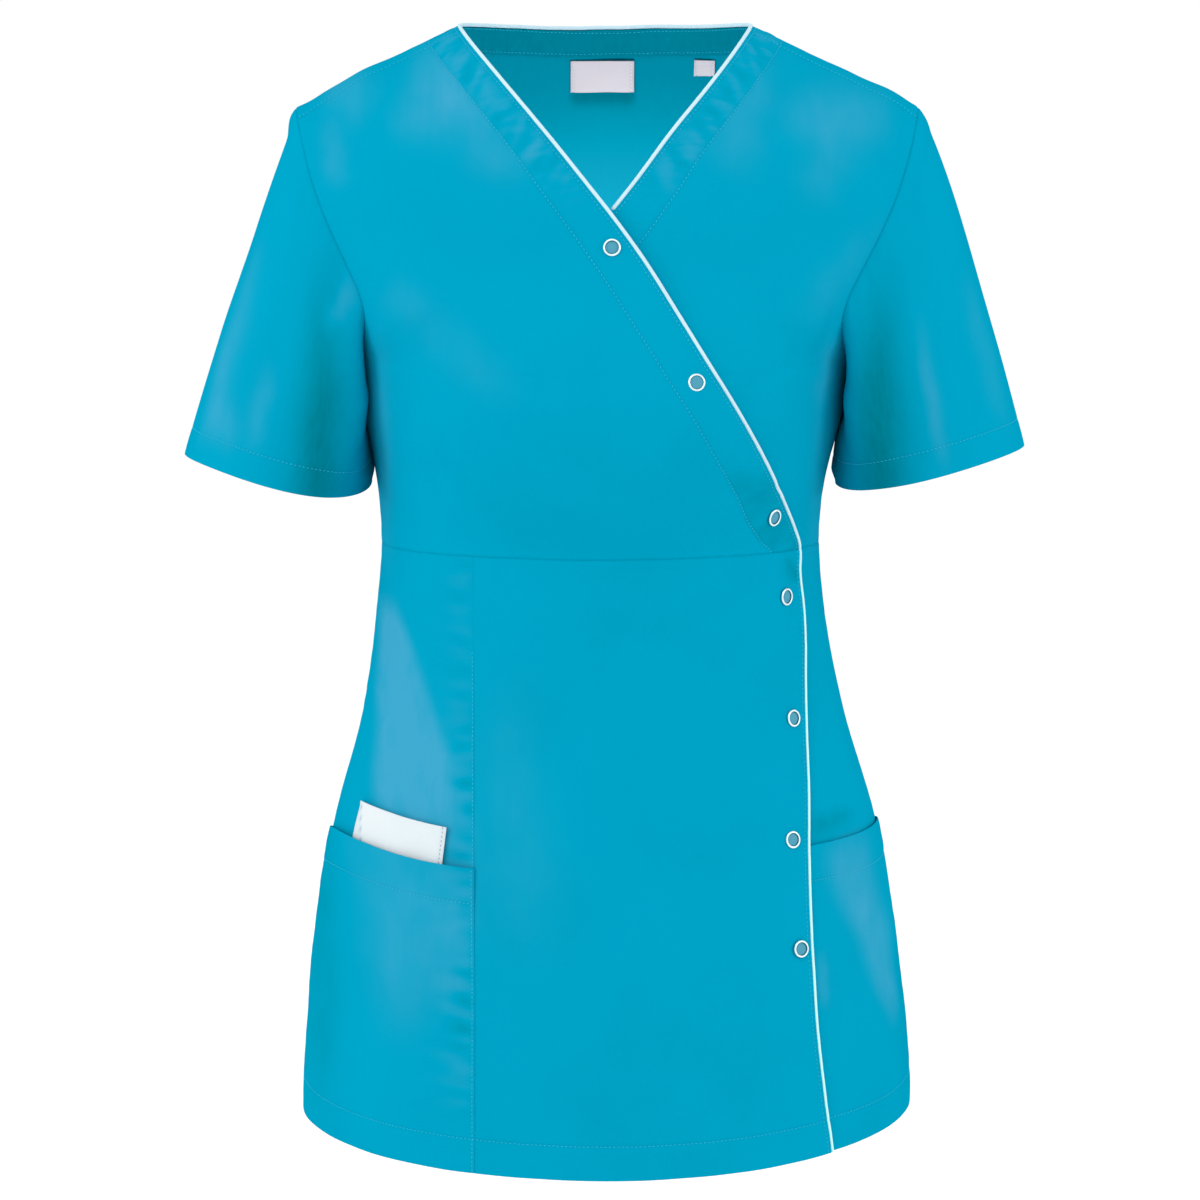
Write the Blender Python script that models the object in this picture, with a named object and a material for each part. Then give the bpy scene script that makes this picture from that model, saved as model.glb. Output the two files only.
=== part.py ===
"""Crossover work tunic with short sleeves, filled out as if it were worn.

Metres, +Z up. The front faces -Y and the wearer's right is at -X. The origin is midway between the two
high points of the shoulders, where the wearer's shoulders carry the garment.

Every panel of the body lies on one smooth surface. A point of it is given by its side (FRONT or BACK), by
its turn about the vertical axis (0 at the middle of that side, a right angle at a side seam) and by its
height. A panel is a wall of cloth on a grid of such points, and what lies on a panel is made from the same
points, moved out.
"""

import math
from collections import namedtuple

import bpy
import numpy as np
from mathutils import Vector
from mathutils.bvhtree import BVHTree

FRONT, BACK = -1, 1
RIGHT, LEFT = -1, 1  # the wearer's sides, as the sign of X
SQUARE = math.pi / 2

# ---------------------------------------------------------------- sizes

CLOTH = 0.0012  # thickness of a wall of cloth
SEAM = 0.0003  # gap between two pieces, at a seam or face to face
EDGE_TRIM = 0.75 * SEAM  # how far a panel's edge is drawn in, with some to spare where a seam bends

NECK_TOP = 0.003  # height of the shoulder seam at the neck
NECK_HALF = 0.092  # half the width of the neck, at the shoulder seams
BACK_NECK_DROP = 0.0052  # how far the back neck dips below the shoulder seams' tops
SHOULDER_SLOPE = 0.5
RIDGE_ROUND = 0.03  # rounds the line of the shoulders across the neck
SHOULDER_ROUND = 0.090  # depth over which front and back round over the shoulder line

ARMHOLE_TURN = math.radians(56)  # where the armholes cut the body's surface
ARMHOLE_FOOT = -0.203  # height of the underarm
SCOOP = 0.050  # height of the armhole's round foot
YOKE_DROP = 0.107  # below the shoulder line, where the armhole's round foot begins

EMPIRE_SIDE, EMPIRE_FRONT = -0.322, -0.317  # height of the seam under the bust
HEM_SIDE = {RIGHT: -0.6870, LEFT: -0.6815}
HEM_MIDDLE = {FRONT: -0.700, BACK: -0.693}
PANEL_SEAM = 0.081  # distance of the skirt's vertical seams from the middle

BUST = dict(across=0.068, height=-0.228, wide=0.046, high=0.052, swell=0.075)

POCKET_TOP = {RIGHT: (-0.5062, -0.5105), LEFT: (-0.4995, -0.5035)}  # at the side seam, at the inner edge
POCKET_BOW = {RIGHT: 0.0055, LEFT: 0.0}  # how far the mouth rises above the line between them
POCKET_BOW_LEAN = 1.6  # above 1 where it rises most beside the side seam
POCKET_GAPE = {RIGHT: 0.0052, LEFT: 0.0008}  # how far a pocket's mouth stands off
# Where along the mouth that is most, from the side, how sharply it peaks there and how deep it reaches.
POCKET_GAPE_PEAK, POCKET_GAPE_POWER, POCKET_GAPE_DEPTH = 0.75, 1.6, 0.070

INSERT_OUTER, INSERT_INNER = -0.158, -0.100  # where it stands, across the right side
INSERT_RISE, INSERT_TUCK = 0.0225, 0.012  # above and inside the pocket's mouth
INSERT_CLOTH, INSERT_GAP = 0.0010, 0.0008

PIPING_RADIUS, PIPING_SINK = 0.0012, 0.0002  # its middle lies this far inside the panel's outer surface
UNDER_PIPING_END = -0.104  # where the under front's piping goes behind the outer front
BAND_DEPTH, BAND_GAP = 0.0175, 0.0008  # how far down the back neck's band reaches, and its gap

SNAP_RADIUS, SNAP_WIRE = 0.0054, 0.0006  # of the ring's outer edge, and of its wire
SNAP_SEARCH = 0.01  # above the cloth, where the search for the snap's seat begins

# Where layers cross, the under layer lies this far inside the outer one: above the waist, and on the
# skirt, where a pocket lies between them. It comes up to the outer level over LAYER_RUN, two turns counted
# from the outer front's edge.
LAYER_BODICE, LAYER_SKIRT = 0.0031, 0.0042
LAYER_RUN = (0.02, 0.40)

Section = namedtuple("Section", "height half_width front back shift")
TORSO = [
    Section(0.020, 0.250, 0.066, 0.078, 0.000),
    Section(-0.050, 0.234, 0.086, 0.102, 0.001),
    Section(-0.100, 0.216, 0.099, 0.112, 0.001),
    Section(-0.150, 0.188, 0.112, 0.116, 0.000),
    Section(-0.200, 0.1580, 0.126, 0.115, -0.002),
    Section(-0.240, 0.1490, 0.130, 0.110, -0.003),
    Section(-0.280, 0.1415, 0.126, 0.102, -0.003),
    Section(-0.320, 0.1385, 0.117, 0.096, -0.003),
    Section(-0.360, 0.1415, 0.114, 0.096, -0.003),
    Section(-0.430, 0.1530, 0.117, 0.105, -0.001),
    Section(-0.500, 0.1725, 0.125, 0.118, 0.000),
    Section(-0.570, 0.1845, 0.135, 0.130, 0.000),
    Section(-0.640, 0.1915, 0.143, 0.137, 0.001),
    Section(-0.710, 0.1945, 0.148, 0.141, 0.001),
]

# The two crossing edges: how far across the outer front's edge and the under front's edge lie.
Crossing = namedtuple("Crossing", "height outer under")
CROSSING = [
    Crossing(0.003, -0.0920, 0.0920),
    Crossing(-0.025, -0.0663, 0.0690),
    Crossing(-0.056, -0.0388, 0.0425),
    Crossing(-0.087, -0.0132, 0.0188),
    Crossing(-0.106, 0.0022, 0.0030),
    Crossing(-0.133, 0.0221, -0.0205),
    Crossing(-0.164, 0.0420, -0.0405),
    Crossing(-0.196, 0.0622, -0.0610),
    Crossing(-0.226, 0.0808, -0.0800),
    Crossing(-0.257, 0.0972, -0.0965),
    Crossing(-0.288, 0.1106, -0.1100),
    Crossing(-0.306, 0.1176, -0.1170),
    Crossing(-0.319, 0.1214, -0.1210),
    Crossing(-0.333, 0.1213, -0.1213),
    Crossing(-0.360, 0.1238, -0.1238),
    Crossing(-0.440, 0.1254, -0.1254),
    Crossing(-0.506, 0.1266, -0.1266),
    Crossing(-0.568, 0.1288, -0.1288),
    Crossing(-0.614, 0.1313, -0.1313),
    Crossing(-0.661, 0.1373, -0.1373),
    Crossing(-0.710, 0.1440, -0.1440),
]

Snap = namedtuple("Snap", "height across")
SNAPS = [
    Snap(-0.1261, 0.0041),
    Snap(-0.2064, 0.0555),
    Snap(-0.2959, 0.1046),
    Snap(-0.3477, 0.1126),
    Snap(-0.4231, 0.1172),
    Snap(-0.4965, 0.1166),
    Snap(-0.5640, 0.1219),
]

Label = namedtuple("Label", "name left right top bottom")
LABELS = [
    Label("neck_label", -0.0222, 0.0188, -0.0225, -0.0430),
    Label("side_tag", 0.0578, 0.0708, -0.0210, -0.0310),
]
LABEL_CLOTH, LABEL_GAP = 0.0010, 0.0010

# Each sleeve's opening: its outer point and its inner one beside the body, half its depth, how far its front
# and back sag below the line between them, and by how much more the front sags towards its inner end. Then
# how far out the sleeve's upper length swells, and how far its front folds in towards the body.
Cuff = namedtuple("Cuff", "outer inner half_depth front_sag front_lean back_sag swell tuck")
CUFFS = {
    RIGHT: Cuff((-0.2655, 0.0, -0.2655), (-0.1482, 0.0, -0.2842), 0.064, 0.0046, 0.0068, 0.002, 0.0028, 0.009),
    LEFT: Cuff((0.2650, 0.0, -0.2602), (0.1470, 0.0, -0.2850), 0.064, 0.0002, 0.0035, 0.002, 0.0048, 0.005),
}
CAP_RISE, CAP_RUN = 0.0010, 0.08  # the sleeve head's fullness, over this share of its length
CAP_WAY = (0.95, 0.32)  # which way the sleeve's fullness stands, outward and upward
TUCK_AT, TUCK_HALF = 0.22, 0.13  # where the front's fold lies and half its width, as shares of the front half
TUCK_WAY = (0.93, 0.37)  # which way the fold stands, towards the body and forward
# How far the sleeve stands off the side below the underarm, over which share of its length that grows, and
# by what share it fades towards the opening.
UNDERARM_RISE, UNDERARM_RUN, UNDERARM_FADE = 0.0022, 0.15, 0.6

# Cells of the grids
YOKE_ROWS, SCOOP_ROWS, SIDE_ROWS, HIP_ROWS, POCKET_ROWS = 8, 5, 7, 9, 9
BODICE_COLUMNS, BACK_COLUMNS = 15, 24
SIDE_COLUMNS, FRONT_COLUMNS, UNDER_COLUMNS = 6, 11, 10
SNAP_ROUND, SNAP_SIDES = 18, 6
SLEEVE_STEPS = [0.0, 0.02, 0.05, 0.10, 0.19, 0.32, 0.46, 0.60, 0.74, 0.87, 1.0]

# ---------------------------------------------------------------- the body's surface


def smooth(rows, column, height):
    """The named column of a table at a height, on a smooth curve through its rows."""
    known = np.array([row.height for row in rows])[::-1]
    value = np.array([getattr(row, column) for row in rows])[::-1]
    slope = np.gradient(value, known)
    at = np.clip(np.searchsorted(known, height) - 1, 0, len(known) - 2)
    step = known[at + 1] - known[at]
    t = np.clip((height - known[at]) / step, 0, 1)
    start = value[at] + t * step * slope[at]
    end = value[at + 1] - (1 - t) * step * slope[at + 1]
    ease = t * t * (3 - 2 * t)
    level = value[at] * (1 - ease) + value[at + 1] * ease
    bend = (start - value[at]) * (1 - t) ** 2 + (end - value[at + 1]) * t**2
    return level + bend


def ease(low, high, value):
    """0 below low, 1 above high, and smooth between."""
    t = np.clip((value - low) / (high - low), 0, 1)
    return t * t * (3 - 2 * t)


def ridge(across):
    """Height of the shoulder line."""
    run = np.hypot(across, RIDGE_ROUND) - math.hypot(NECK_HALF, RIDGE_ROUND)
    return NECK_TOP - SHOULDER_SLOPE * run


def fullness(side, across, height):
    """The bust's swell, as a factor on the front's depth."""
    if side == BACK:
        return np.ones_like(across + height)
    rise = np.exp(-(((height - BUST["height"]) / BUST["high"]) ** 2))
    left = np.exp(-(((across - BUST["across"]) / BUST["wide"]) ** 2))
    right = np.exp(-(((across + BUST["across"]) / BUST["wide"]) ** 2))
    return 1 + BUST["swell"] * rise * (left + right)


def across_at(turn, height):
    return smooth(TORSO, "shift", height) + smooth(TORSO, "half_width", height) * np.sin(turn)


def turn_at(across, height):
    """The turn at which the surface lies that far across."""
    share = (across - smooth(TORSO, "shift", height)) / smooth(TORSO, "half_width", height)
    return np.arcsin(np.clip(share, -1, 1))


def height_below_ridge(turn, drop):
    """The height that lies that far below the shoulder line."""
    height = np.zeros_like(turn + drop)
    for _ in range(30):
        height = ridge(across_at(turn, height)) - drop
    return height


def depth_at(side, across, height):
    column = "front" if side == FRONT else "back"
    return smooth(TORSO, column, height) * fullness(side, across, height)


def torso(side, turn, height):
    """Points of the body's outer surface."""
    across = across_at(turn, height)
    over = 1 - np.clip((ridge(across) - height) / SHOULDER_ROUND, 0, 1)
    out = side * depth_at(side, across, height) * np.cos(turn) * np.sqrt(1 - over**2)
    return np.stack([across, out, height + 0 * turn], axis=-1)


def outside(side, point):
    """Above 0 outside the body's surface, 0 on it: its gradient points straight out."""
    across, out, height = point[..., 0], point[..., 1], point[..., 2]
    share = (across - smooth(TORSO, "shift", height)) / smooth(TORSO, "half_width", height)
    over = 1 - np.minimum((ridge(across) - height) / SHOULDER_ROUND, 1)
    return (out / depth_at(side, across, height)) ** 2 - (1 - share**2) * (1 - over**2)


def outward(side, point):
    """Unit vectors straight out of the body's surface."""
    reach = 1e-5
    slope = [
        outside(side, point + reach * axis) - outside(side, point - reach * axis) for axis in np.eye(3)
    ]
    slope = np.stack(slope, axis=-1)
    return slope / np.linalg.norm(slope, axis=-1, keepdims=True)


# ---------------------------------------------------------------- seam and edge lines


def armhole_turn(height):
    rise = np.clip((height - ARMHOLE_FOOT) / SCOOP, 0, 1)
    return SQUARE - (SQUARE - ARMHOLE_TURN) * np.sqrt(1 - (1 - rise) ** 2)


def empire(turn):
    return EMPIRE_SIDE + (EMPIRE_FRONT - EMPIRE_SIDE) * np.cos(turn)


def hem(side, turn):
    at_side = np.where(turn < 0, HEM_SIDE[RIGHT], HEM_SIDE[LEFT])
    return at_side + (HEM_MIDDLE[side] - at_side) * np.cos(turn)


def pocket_top(side_sign, turn):
    at_side, at_inner = POCKET_TOP[side_sign]
    inner_turn = turn_at(PANEL_SEAM, at_inner)
    share = np.clip((np.abs(turn) - inner_turn) / (SQUARE - inner_turn), 0, 1)
    bow = POCKET_BOW[side_sign] * np.sin(math.pi * share**POCKET_BOW_LEAN)
    return at_inner + (at_side - at_inner) * share + bow


def pocket_gape(share):
    """How far a pocket's mouth stands off, from the side seam to its inner edge, as a share of the most."""
    peak = POCKET_GAPE_PEAK
    rise = (share / peak) ** peak * ((1 - share) / (1 - peak)) ** (1 - peak)
    return rise**POCKET_GAPE_POWER


def outer_edge(height):
    """Turn of the outer front's crossing edge."""
    return turn_at(smooth(CROSSING, "outer", height), height)


def under_edge(height):
    """Turn of the under front's hidden edge."""
    return turn_at(smooth(CROSSING, "under", height), height)


def seam_line(sign):
    """Turn of a skirt's vertical seam, as a function of height."""
    return lambda height: turn_at(sign * PANEL_SEAM + 0 * height, height)


def side_line(sign):
    """Turn of the side seam and, above it, of the armhole."""
    return lambda height: sign * armhole_turn(height)


def under_layer(point):
    """How far the under front lies inside the outer level."""
    height = point[..., 2]
    full = LAYER_BODICE + (LAYER_SKIRT - LAYER_BODICE) * ease(0.33, 0.46, -height)
    past = turn_at(point[..., 0], height) - outer_edge(height)
    return full * (1 - ease(*LAYER_RUN, past))


# ---------------------------------------------------------------- grids of points

Grid = namedtuple("Grid", "side turn height")  # rows run upward, and columns across


def spread(start, end, cells):
    """Turns from one edge to the other, a row for each pair."""
    share = np.linspace(0, 1, cells + 1)
    return start[:, None] * (1 - share) + end[:, None] * share


def upper_grid(side, edge, inner, columns, neck_drop=None):
    """Rows from the line under the bust up to the shoulder line, columns from the side to the inner edge.

    edge and inner give the turns of the two ends at a height. Near the shoulders each row keeps one drop
    below the shoulder line, or below the neck's edge where neck_drop says how deep that is for a column.
    Below, the rows are spaced for the armhole's round foot and then evenly.
    """
    heights = np.linspace(NECK_TOP, -0.14, 600)
    inner_drops = ridge(across_at(inner(heights), heights)) - heights
    fall = 1 - np.cos(np.linspace(SQUARE, 0, YOKE_ROWS + 1))
    top = edge(np.zeros(1) + ARMHOLE_FOOT + SCOOP)[0]
    inner_turn = inner(np.interp(YOKE_DROP * fall, inner_drops, heights))
    yoke_turn = spread(np.full(YOKE_ROWS + 1, top), inner_turn, columns)
    neck_drop = np.zeros(columns + 1) if neck_drop is None else neck_drop(yoke_turn[0])
    yoke_height = height_below_ridge(yoke_turn, neck_drop + (YOKE_DROP - neck_drop) * fall[:, None])

    up_side = np.linspace(0, 1, SIDE_ROWS + 1)[:-1, None]
    up_scoop = 1 - np.cos(np.linspace(0, SQUARE, SCOOP_ROWS + 1)[:-1, None])
    low_turn = np.zeros((SIDE_ROWS + SCOOP_ROWS, columns + 1))
    for _ in range(6):
        side_height = empire(low_turn[:SIDE_ROWS]) * (1 - up_side) + ARMHOLE_FOOT * up_side
        scoop_height = ARMHOLE_FOOT * (1 - up_scoop) + yoke_height[:1] * up_scoop
        low_height = np.vstack([side_height, scoop_height])
        low_turn = spread(edge(low_height[:, 0]), inner(low_height[:, -1]), columns)
    return Grid(side, np.vstack([low_turn, yoke_turn]), np.vstack([low_height, yoke_height]))


def skirt_grid(side, edges, counts, pocket_sign=RIGHT):
    """Rows from the hem up to the pocket's top and on to the line under the bust, columns edge by edge."""
    low = np.linspace(0, 1, POCKET_ROWS + 1)[:, None]
    high = np.linspace(0, 1, HIP_ROWS + 1)[1:, None]
    to_pocket = np.vstack([low, np.ones_like(high)])
    to_top = np.vstack([np.zeros_like(low), high])
    starts = np.concatenate([[0], np.cumsum(counts)])
    turn = np.zeros((len(to_top), sum(counts) + 1))
    for _ in range(6):
        bottom, mouth = hem(side, turn), pocket_top(pocket_sign, turn)
        height = bottom + (mouth - bottom) * to_pocket + (empire(turn) - mouth) * to_top
        ends = [edge(height[:, column]) for edge, column in zip(edges, starts)]
        spans = [spread(a, b, count)[:, :-1] for a, b, count in zip(ends, ends[1:], counts)]
        turn = np.hstack(spans + [ends[-1][:, None]])
    return Grid(side, turn, height)


def stacked(lower, upper):
    """One grid of two that share a row."""
    turn = np.vstack([lower.turn[:-1], upper.turn])
    return Grid(lower.side, turn, np.vstack([lower.height[:-1], upper.height]))


def points_of(grid):
    return torso(grid.side, grid.turn, grid.height)


def neck_drop(turn):
    """How far the back neck's edge lies below the shoulder line."""
    across = across_at(turn, np.full_like(turn, NECK_TOP))
    share = np.clip(np.abs(across) / NECK_HALF, 0, 1)
    return np.where(share < 1, ridge(across) - NECK_TOP + BACK_NECK_DROP * (1 - share**2.5), 0)


# ---------------------------------------------------------------- walls and tubes


def link(name, vertices, faces, material):
    mesh = bpy.data.meshes.new(name)
    mesh.from_pydata([tuple(v) for v in vertices], [], faces)
    mesh.validate()
    mesh.materials.append(material)
    mesh.shade_smooth()
    mesh.set_sharp_from_angle(angle=math.radians(40))
    piece = bpy.data.objects.new(name, mesh)
    bpy.context.collection.objects.link(piece)
    return piece


def trimmed(points):
    """The grid with its edges drawn in by a seam's half gap, along the cloth."""
    moved = points.copy()

    def draw_in(edge, inner):
        step = inner - edge
        return EDGE_TRIM * step / np.linalg.norm(step, axis=-1, keepdims=True)

    moved[0] += draw_in(points[0], points[1])
    moved[-1] += draw_in(points[-1], points[-2])
    moved[:, 0] += draw_in(points[:, 0], points[:, 1])
    moved[:, -1] += draw_in(points[:, -1], points[:, -2])
    return moved


def wall(name, outer, inward, material, closed=False):
    """A closed wall of cloth: a grid of outer points, and the step from each one through the cloth."""
    rows, columns = outer.shape[:2]
    inner = outer + inward
    middle = rows // 2, columns // 2
    across = outer[middle[0], middle[1]] - outer[middle[0], middle[1] - 1]
    upward = outer[middle] - outer[middle[0] - 1, middle[1]]
    flip = np.dot(np.cross(across, upward), inward[middle]) > 0
    last = columns if closed else columns - 1
    faces = []
    under = rows * columns

    def quad(a, b, c, d):
        faces.append((d, c, b, a) if flip else (a, b, c, d))

    for i in range(rows - 1):
        for j in range(last):
            k = (j + 1) % columns
            a, b, c, d = i * columns + j, i * columns + k, (i + 1) * columns + k, (i + 1) * columns + j
            quad(a, b, c, d)
            quad(under + d, under + c, under + b, under + a)
    for j in range(last):
        k = (j + 1) % columns
        quad(under + j, under + k, k, j)
        top = (rows - 1) * columns
        quad(top + j, top + k, under + top + k, under + top + j)
    if not closed:
        for i in range(rows - 1):
            a, b = i * columns, (i + 1) * columns
            quad(a, b, under + b, under + a)
            a, b = a + columns - 1, b + columns - 1
            quad(b, a, under + a, under + b)
    vertices = np.vstack([outer.reshape(-1, 3), inner.reshape(-1, 3)])
    return link(name, vertices, faces, material)


def panel(name, grid, material, lower=None, thickness=CLOTH):
    """A panel of the body. lower gives how far its points lie inside the surface."""
    points = points_of(grid)
    normal = outward(grid.side, points)
    if lower is not None:
        points = points - normal * lower(points)[..., None]
    return wall(name, trimmed(points), -thickness * normal, material)


def tube(name, path, up, radius, material, sides=6):
    """A closed tube along a path, whose cross-sections stand on the directions up."""
    along = np.gradient(path, axis=0)
    along /= np.linalg.norm(along, axis=1, keepdims=True)
    aside = np.cross(along, up)
    aside /= np.linalg.norm(aside, axis=1, keepdims=True)
    above = np.cross(along, aside)
    vertices, faces = [], []
    for centre, x, y in zip(path, aside, above):
        for k in range(sides):
            angle = 2 * math.pi * (k + 0.5) / sides
            vertices.append(centre + radius * (math.cos(angle) * x + math.sin(angle) * y))
    for i in range(len(path) - 1):
        for k in range(sides):
            a, b = i * sides + k, i * sides + (k + 1) % sides
            faces.append((a, b, b + sides, a + sides))
    faces.append(tuple(range(sides))[::-1])
    faces.append(tuple(range((len(path) - 1) * sides, len(path) * sides)))
    return link(name, vertices, faces, material)


def material(name, colour, roughness, metallic=0.0):
    made = bpy.data.materials.new(name)
    made.use_nodes = True
    shader = made.node_tree.nodes["Principled BSDF"]
    shader.inputs["Base Color"].default_value = (*colour, 1)
    shader.inputs["Roughness"].default_value = roughness
    shader.inputs["Metallic"].default_value = metallic
    made.diffuse_color = (*colour, 1)
    return made


# ---------------------------------------------------------------- the pieces


def armhole_ring(front, back):
    """The sleeve's seam, just inside the armhole's edge, from the underarm up the front and down the back.

    Its points come with the body's directions there, straight out of the cloth and along it into the
    armhole, and with the number of the top point."""
    rings, ups = [], []
    for grid in (front, back):
        points = points_of(grid)[SIDE_ROWS:, 0]
        rings.append(points)
        ups.append(outward(grid.side, points))
    ring = np.concatenate([rings[0], rings[1][-2:0:-1]])
    up = np.concatenate([ups[0], ups[1][-2:0:-1]])
    away = np.cross(np.roll(ring, -1, axis=0) - np.roll(ring, 1, axis=0), up)
    away *= np.sign((away * (ring.mean(axis=0) - ring)).sum(axis=1, keepdims=True))
    away /= np.linalg.norm(away, axis=1, keepdims=True)
    return ring + SEAM * away, up, away, len(rings[0]) - 1


def cuff_point(cuff, half, share):
    """A point of a sleeve's opening: share runs from its inner point to its outer one, over the front half
    or the back half."""
    angle = math.pi * share
    outer, inner = np.array(cuff.outer), np.array(cuff.inner)
    point = (outer + inner) / 2 + (inner - outer) / 2 * math.cos(angle)
    sag = cuff.front_sag + cuff.front_lean * math.cos(angle) if half == FRONT else cuff.back_sag
    return point + math.sin(angle) * np.array([0, half * cuff.half_depth, -sag])


def sleeve(name, sign, front, back, cloth):
    """A set-in sleeve, lofted from the armhole to its opening."""
    ring, up, away, top = armhole_ring(front, back)
    count = len(ring)
    lengths = np.linalg.norm(np.diff(np.vstack([ring, ring[:1]]), axis=0), axis=1)
    run = np.concatenate([[0], np.cumsum(lengths)])
    opening = []
    for k in range(count):
        half = FRONT if k <= top else BACK
        share = run[k] / run[top] if k <= top else (run[count] - run[k]) / (run[count] - run[top])
        opening.append(cuff_point(CUFFS[sign], half, share))
    opening = np.array(opening)
    low, high = ring[:, 2].min(), ring[:, 2].max()
    headward = ((ring[:, 2] - low) / (high - low))[:, None]
    over = np.array([sign * CAP_WAY[0], 0, CAP_WAY[1]])
    front_share = (run[:count] / run[top])[:, None]
    tuck = CUFFS[sign].tuck * np.exp(-(((front_share - TUCK_AT) / TUCK_HALF) ** 2)) * (front_share <= 1)
    inward_way = np.array([-sign * TUCK_WAY[0], -TUCK_WAY[1], 0])
    rings = []
    for step in SLEEVE_STEPS:
        points = ring * (1 - step) + opening * step
        rise = CAP_RISE * math.sin(math.pi * min(step / CAP_RUN, 1))
        rise += CUFFS[sign].swell * math.sin(math.pi * step**0.6)
        points = points + over * rise * headward**2 + inward_way * tuck * math.sin(math.pi * step)
        fold = 1 - (1 - min(step / UNDERARM_RUN, 1)) ** 2
        clear = UNDERARM_RISE * fold * (1 - UNDERARM_FADE * step) * (1 - headward) ** 2
        rings.append(points + np.array([sign, 0, 0]) * clear)
    points = np.array(rings)
    along = np.gradient(points, axis=0)
    around = (np.roll(points, -1, axis=1) - np.roll(points, 1, axis=1)) / 2
    normal = np.cross(around, along)
    normal /= np.linalg.norm(normal, axis=-1, keepdims=True)
    axis = points.mean(axis=1, keepdims=True)
    if ((points - axis) * normal).sum() < 0:
        normal = -normal
    inward = -CLOTH * normal
    between = normal[0] + up
    between /= np.linalg.norm(between, axis=1, keepdims=True)
    opens = (between * away).sum(axis=1, keepdims=True) < 0  # where the fold lies outside
    inward[0] = -CLOTH * np.where(opens, between, up)
    return wall(name, points, inward, cloth, closed=True)


def pocket(name, sign, grid, columns, lower, cloth):
    """A patch pocket, made from its panel's points and moved out, with its mouth standing off a little."""
    rows = slice(0, POCKET_ROWS + 1)
    patch = Grid(grid.side, grid.turn[rows, columns], grid.height[rows, columns])
    points = points_of(patch)
    normal = outward(grid.side, points)
    share = np.linspace(0, 1, points.shape[1])
    below_mouth = pocket_top(sign, patch.turn) - patch.height
    gape = np.clip(1 - below_mouth / POCKET_GAPE_DEPTH, 0, 1) ** 2 * pocket_gape(share)
    out = SEAM + CLOTH + POCKET_GAPE[sign] * gape
    out = out - lower(points) if lower is not None else out
    points = points + normal * out[..., None]
    return wall(name, trimmed(points), -CLOTH * normal, cloth)


def pocket_insert(cloth):
    """The small cloth that stands in the right pocket."""
    rows, columns = 4, 5
    level = POCKET_TOP[RIGHT][0]
    turn = turn_at(np.linspace(INSERT_OUTER, INSERT_INNER, columns), level) + np.zeros((rows, 1))
    height = pocket_top(RIGHT, turn) + np.linspace(-INSERT_TUCK, INSERT_RISE, rows)[:, None]
    points = torso(FRONT, turn, height)
    normal = outward(FRONT, points)
    outer = points + normal * (INSERT_GAP + INSERT_CLOTH)
    return wall("pocket_insert", outer, -INSERT_CLOTH * normal, cloth)


def back_neck_band(back, cloth):
    """The band of the same cloth inside the back neck, made from the back's points and moved in."""
    points = points_of(back)
    normal = outward(BACK, points)
    columns = np.flatnonzero(np.abs(points[-1, :, 0]) < NECK_HALF)
    rows = []
    for depth in np.linspace(BAND_DEPTH, SEAM, 4):
        row = []
        for column in columns:
            line = np.hstack([points[::-1, column], normal[::-1, column]])
            below = line[0, 2] - line[:, 2]
            row.append([np.interp(depth, below, line[:, k]) for k in range(6)])
        rows.append(row)
    rows = np.array(rows)
    points, normal = rows[..., :3], rows[..., 3:]
    return wall("back_neck_band", trimmed(points) - normal * (CLOTH + BAND_GAP), -CLOTH * normal, cloth)


def label(spec, cloth):
    """A bare label against the back's inner side, below the band."""
    rows, columns = 3, 4
    height = np.linspace(spec.bottom, spec.top, rows)[:, None] + np.zeros(columns)
    turn = turn_at(np.linspace(spec.left, spec.right, columns) + np.zeros((rows, 1)), height)
    points = torso(BACK, turn, height)
    normal = outward(BACK, points)
    return wall(spec.name, points - normal * (CLOTH + LABEL_GAP), -LABEL_CLOTH * normal, cloth)


def edge_tube(name, sides_points, away, cloth):
    """Piping beside the edge of a panel. Each entry is the edge's points with their outward directions."""
    points = np.vstack([part[0] for part in sides_points])
    up = np.vstack([part[1] for part in sides_points])
    along = np.gradient(points, axis=0)
    along /= np.linalg.norm(along, axis=1, keepdims=True)
    beside = np.cross(along, up)
    beside /= np.linalg.norm(beside, axis=1, keepdims=True)
    beside *= np.sign((beside * away).sum(axis=1))[:, None]
    path = points + beside * (PIPING_RADIUS + SEAM) - up * PIPING_SINK
    return tube(name, path, up, PIPING_RADIUS, cloth)


def edge_of(grid, lower=None):
    """The last column's points and outward directions, upward."""
    points = points_of(grid)[:, -1]
    up = outward(grid.side, points)
    if lower is not None:
        points = points - up * lower(points)[:, None]
    return points, up


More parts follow.
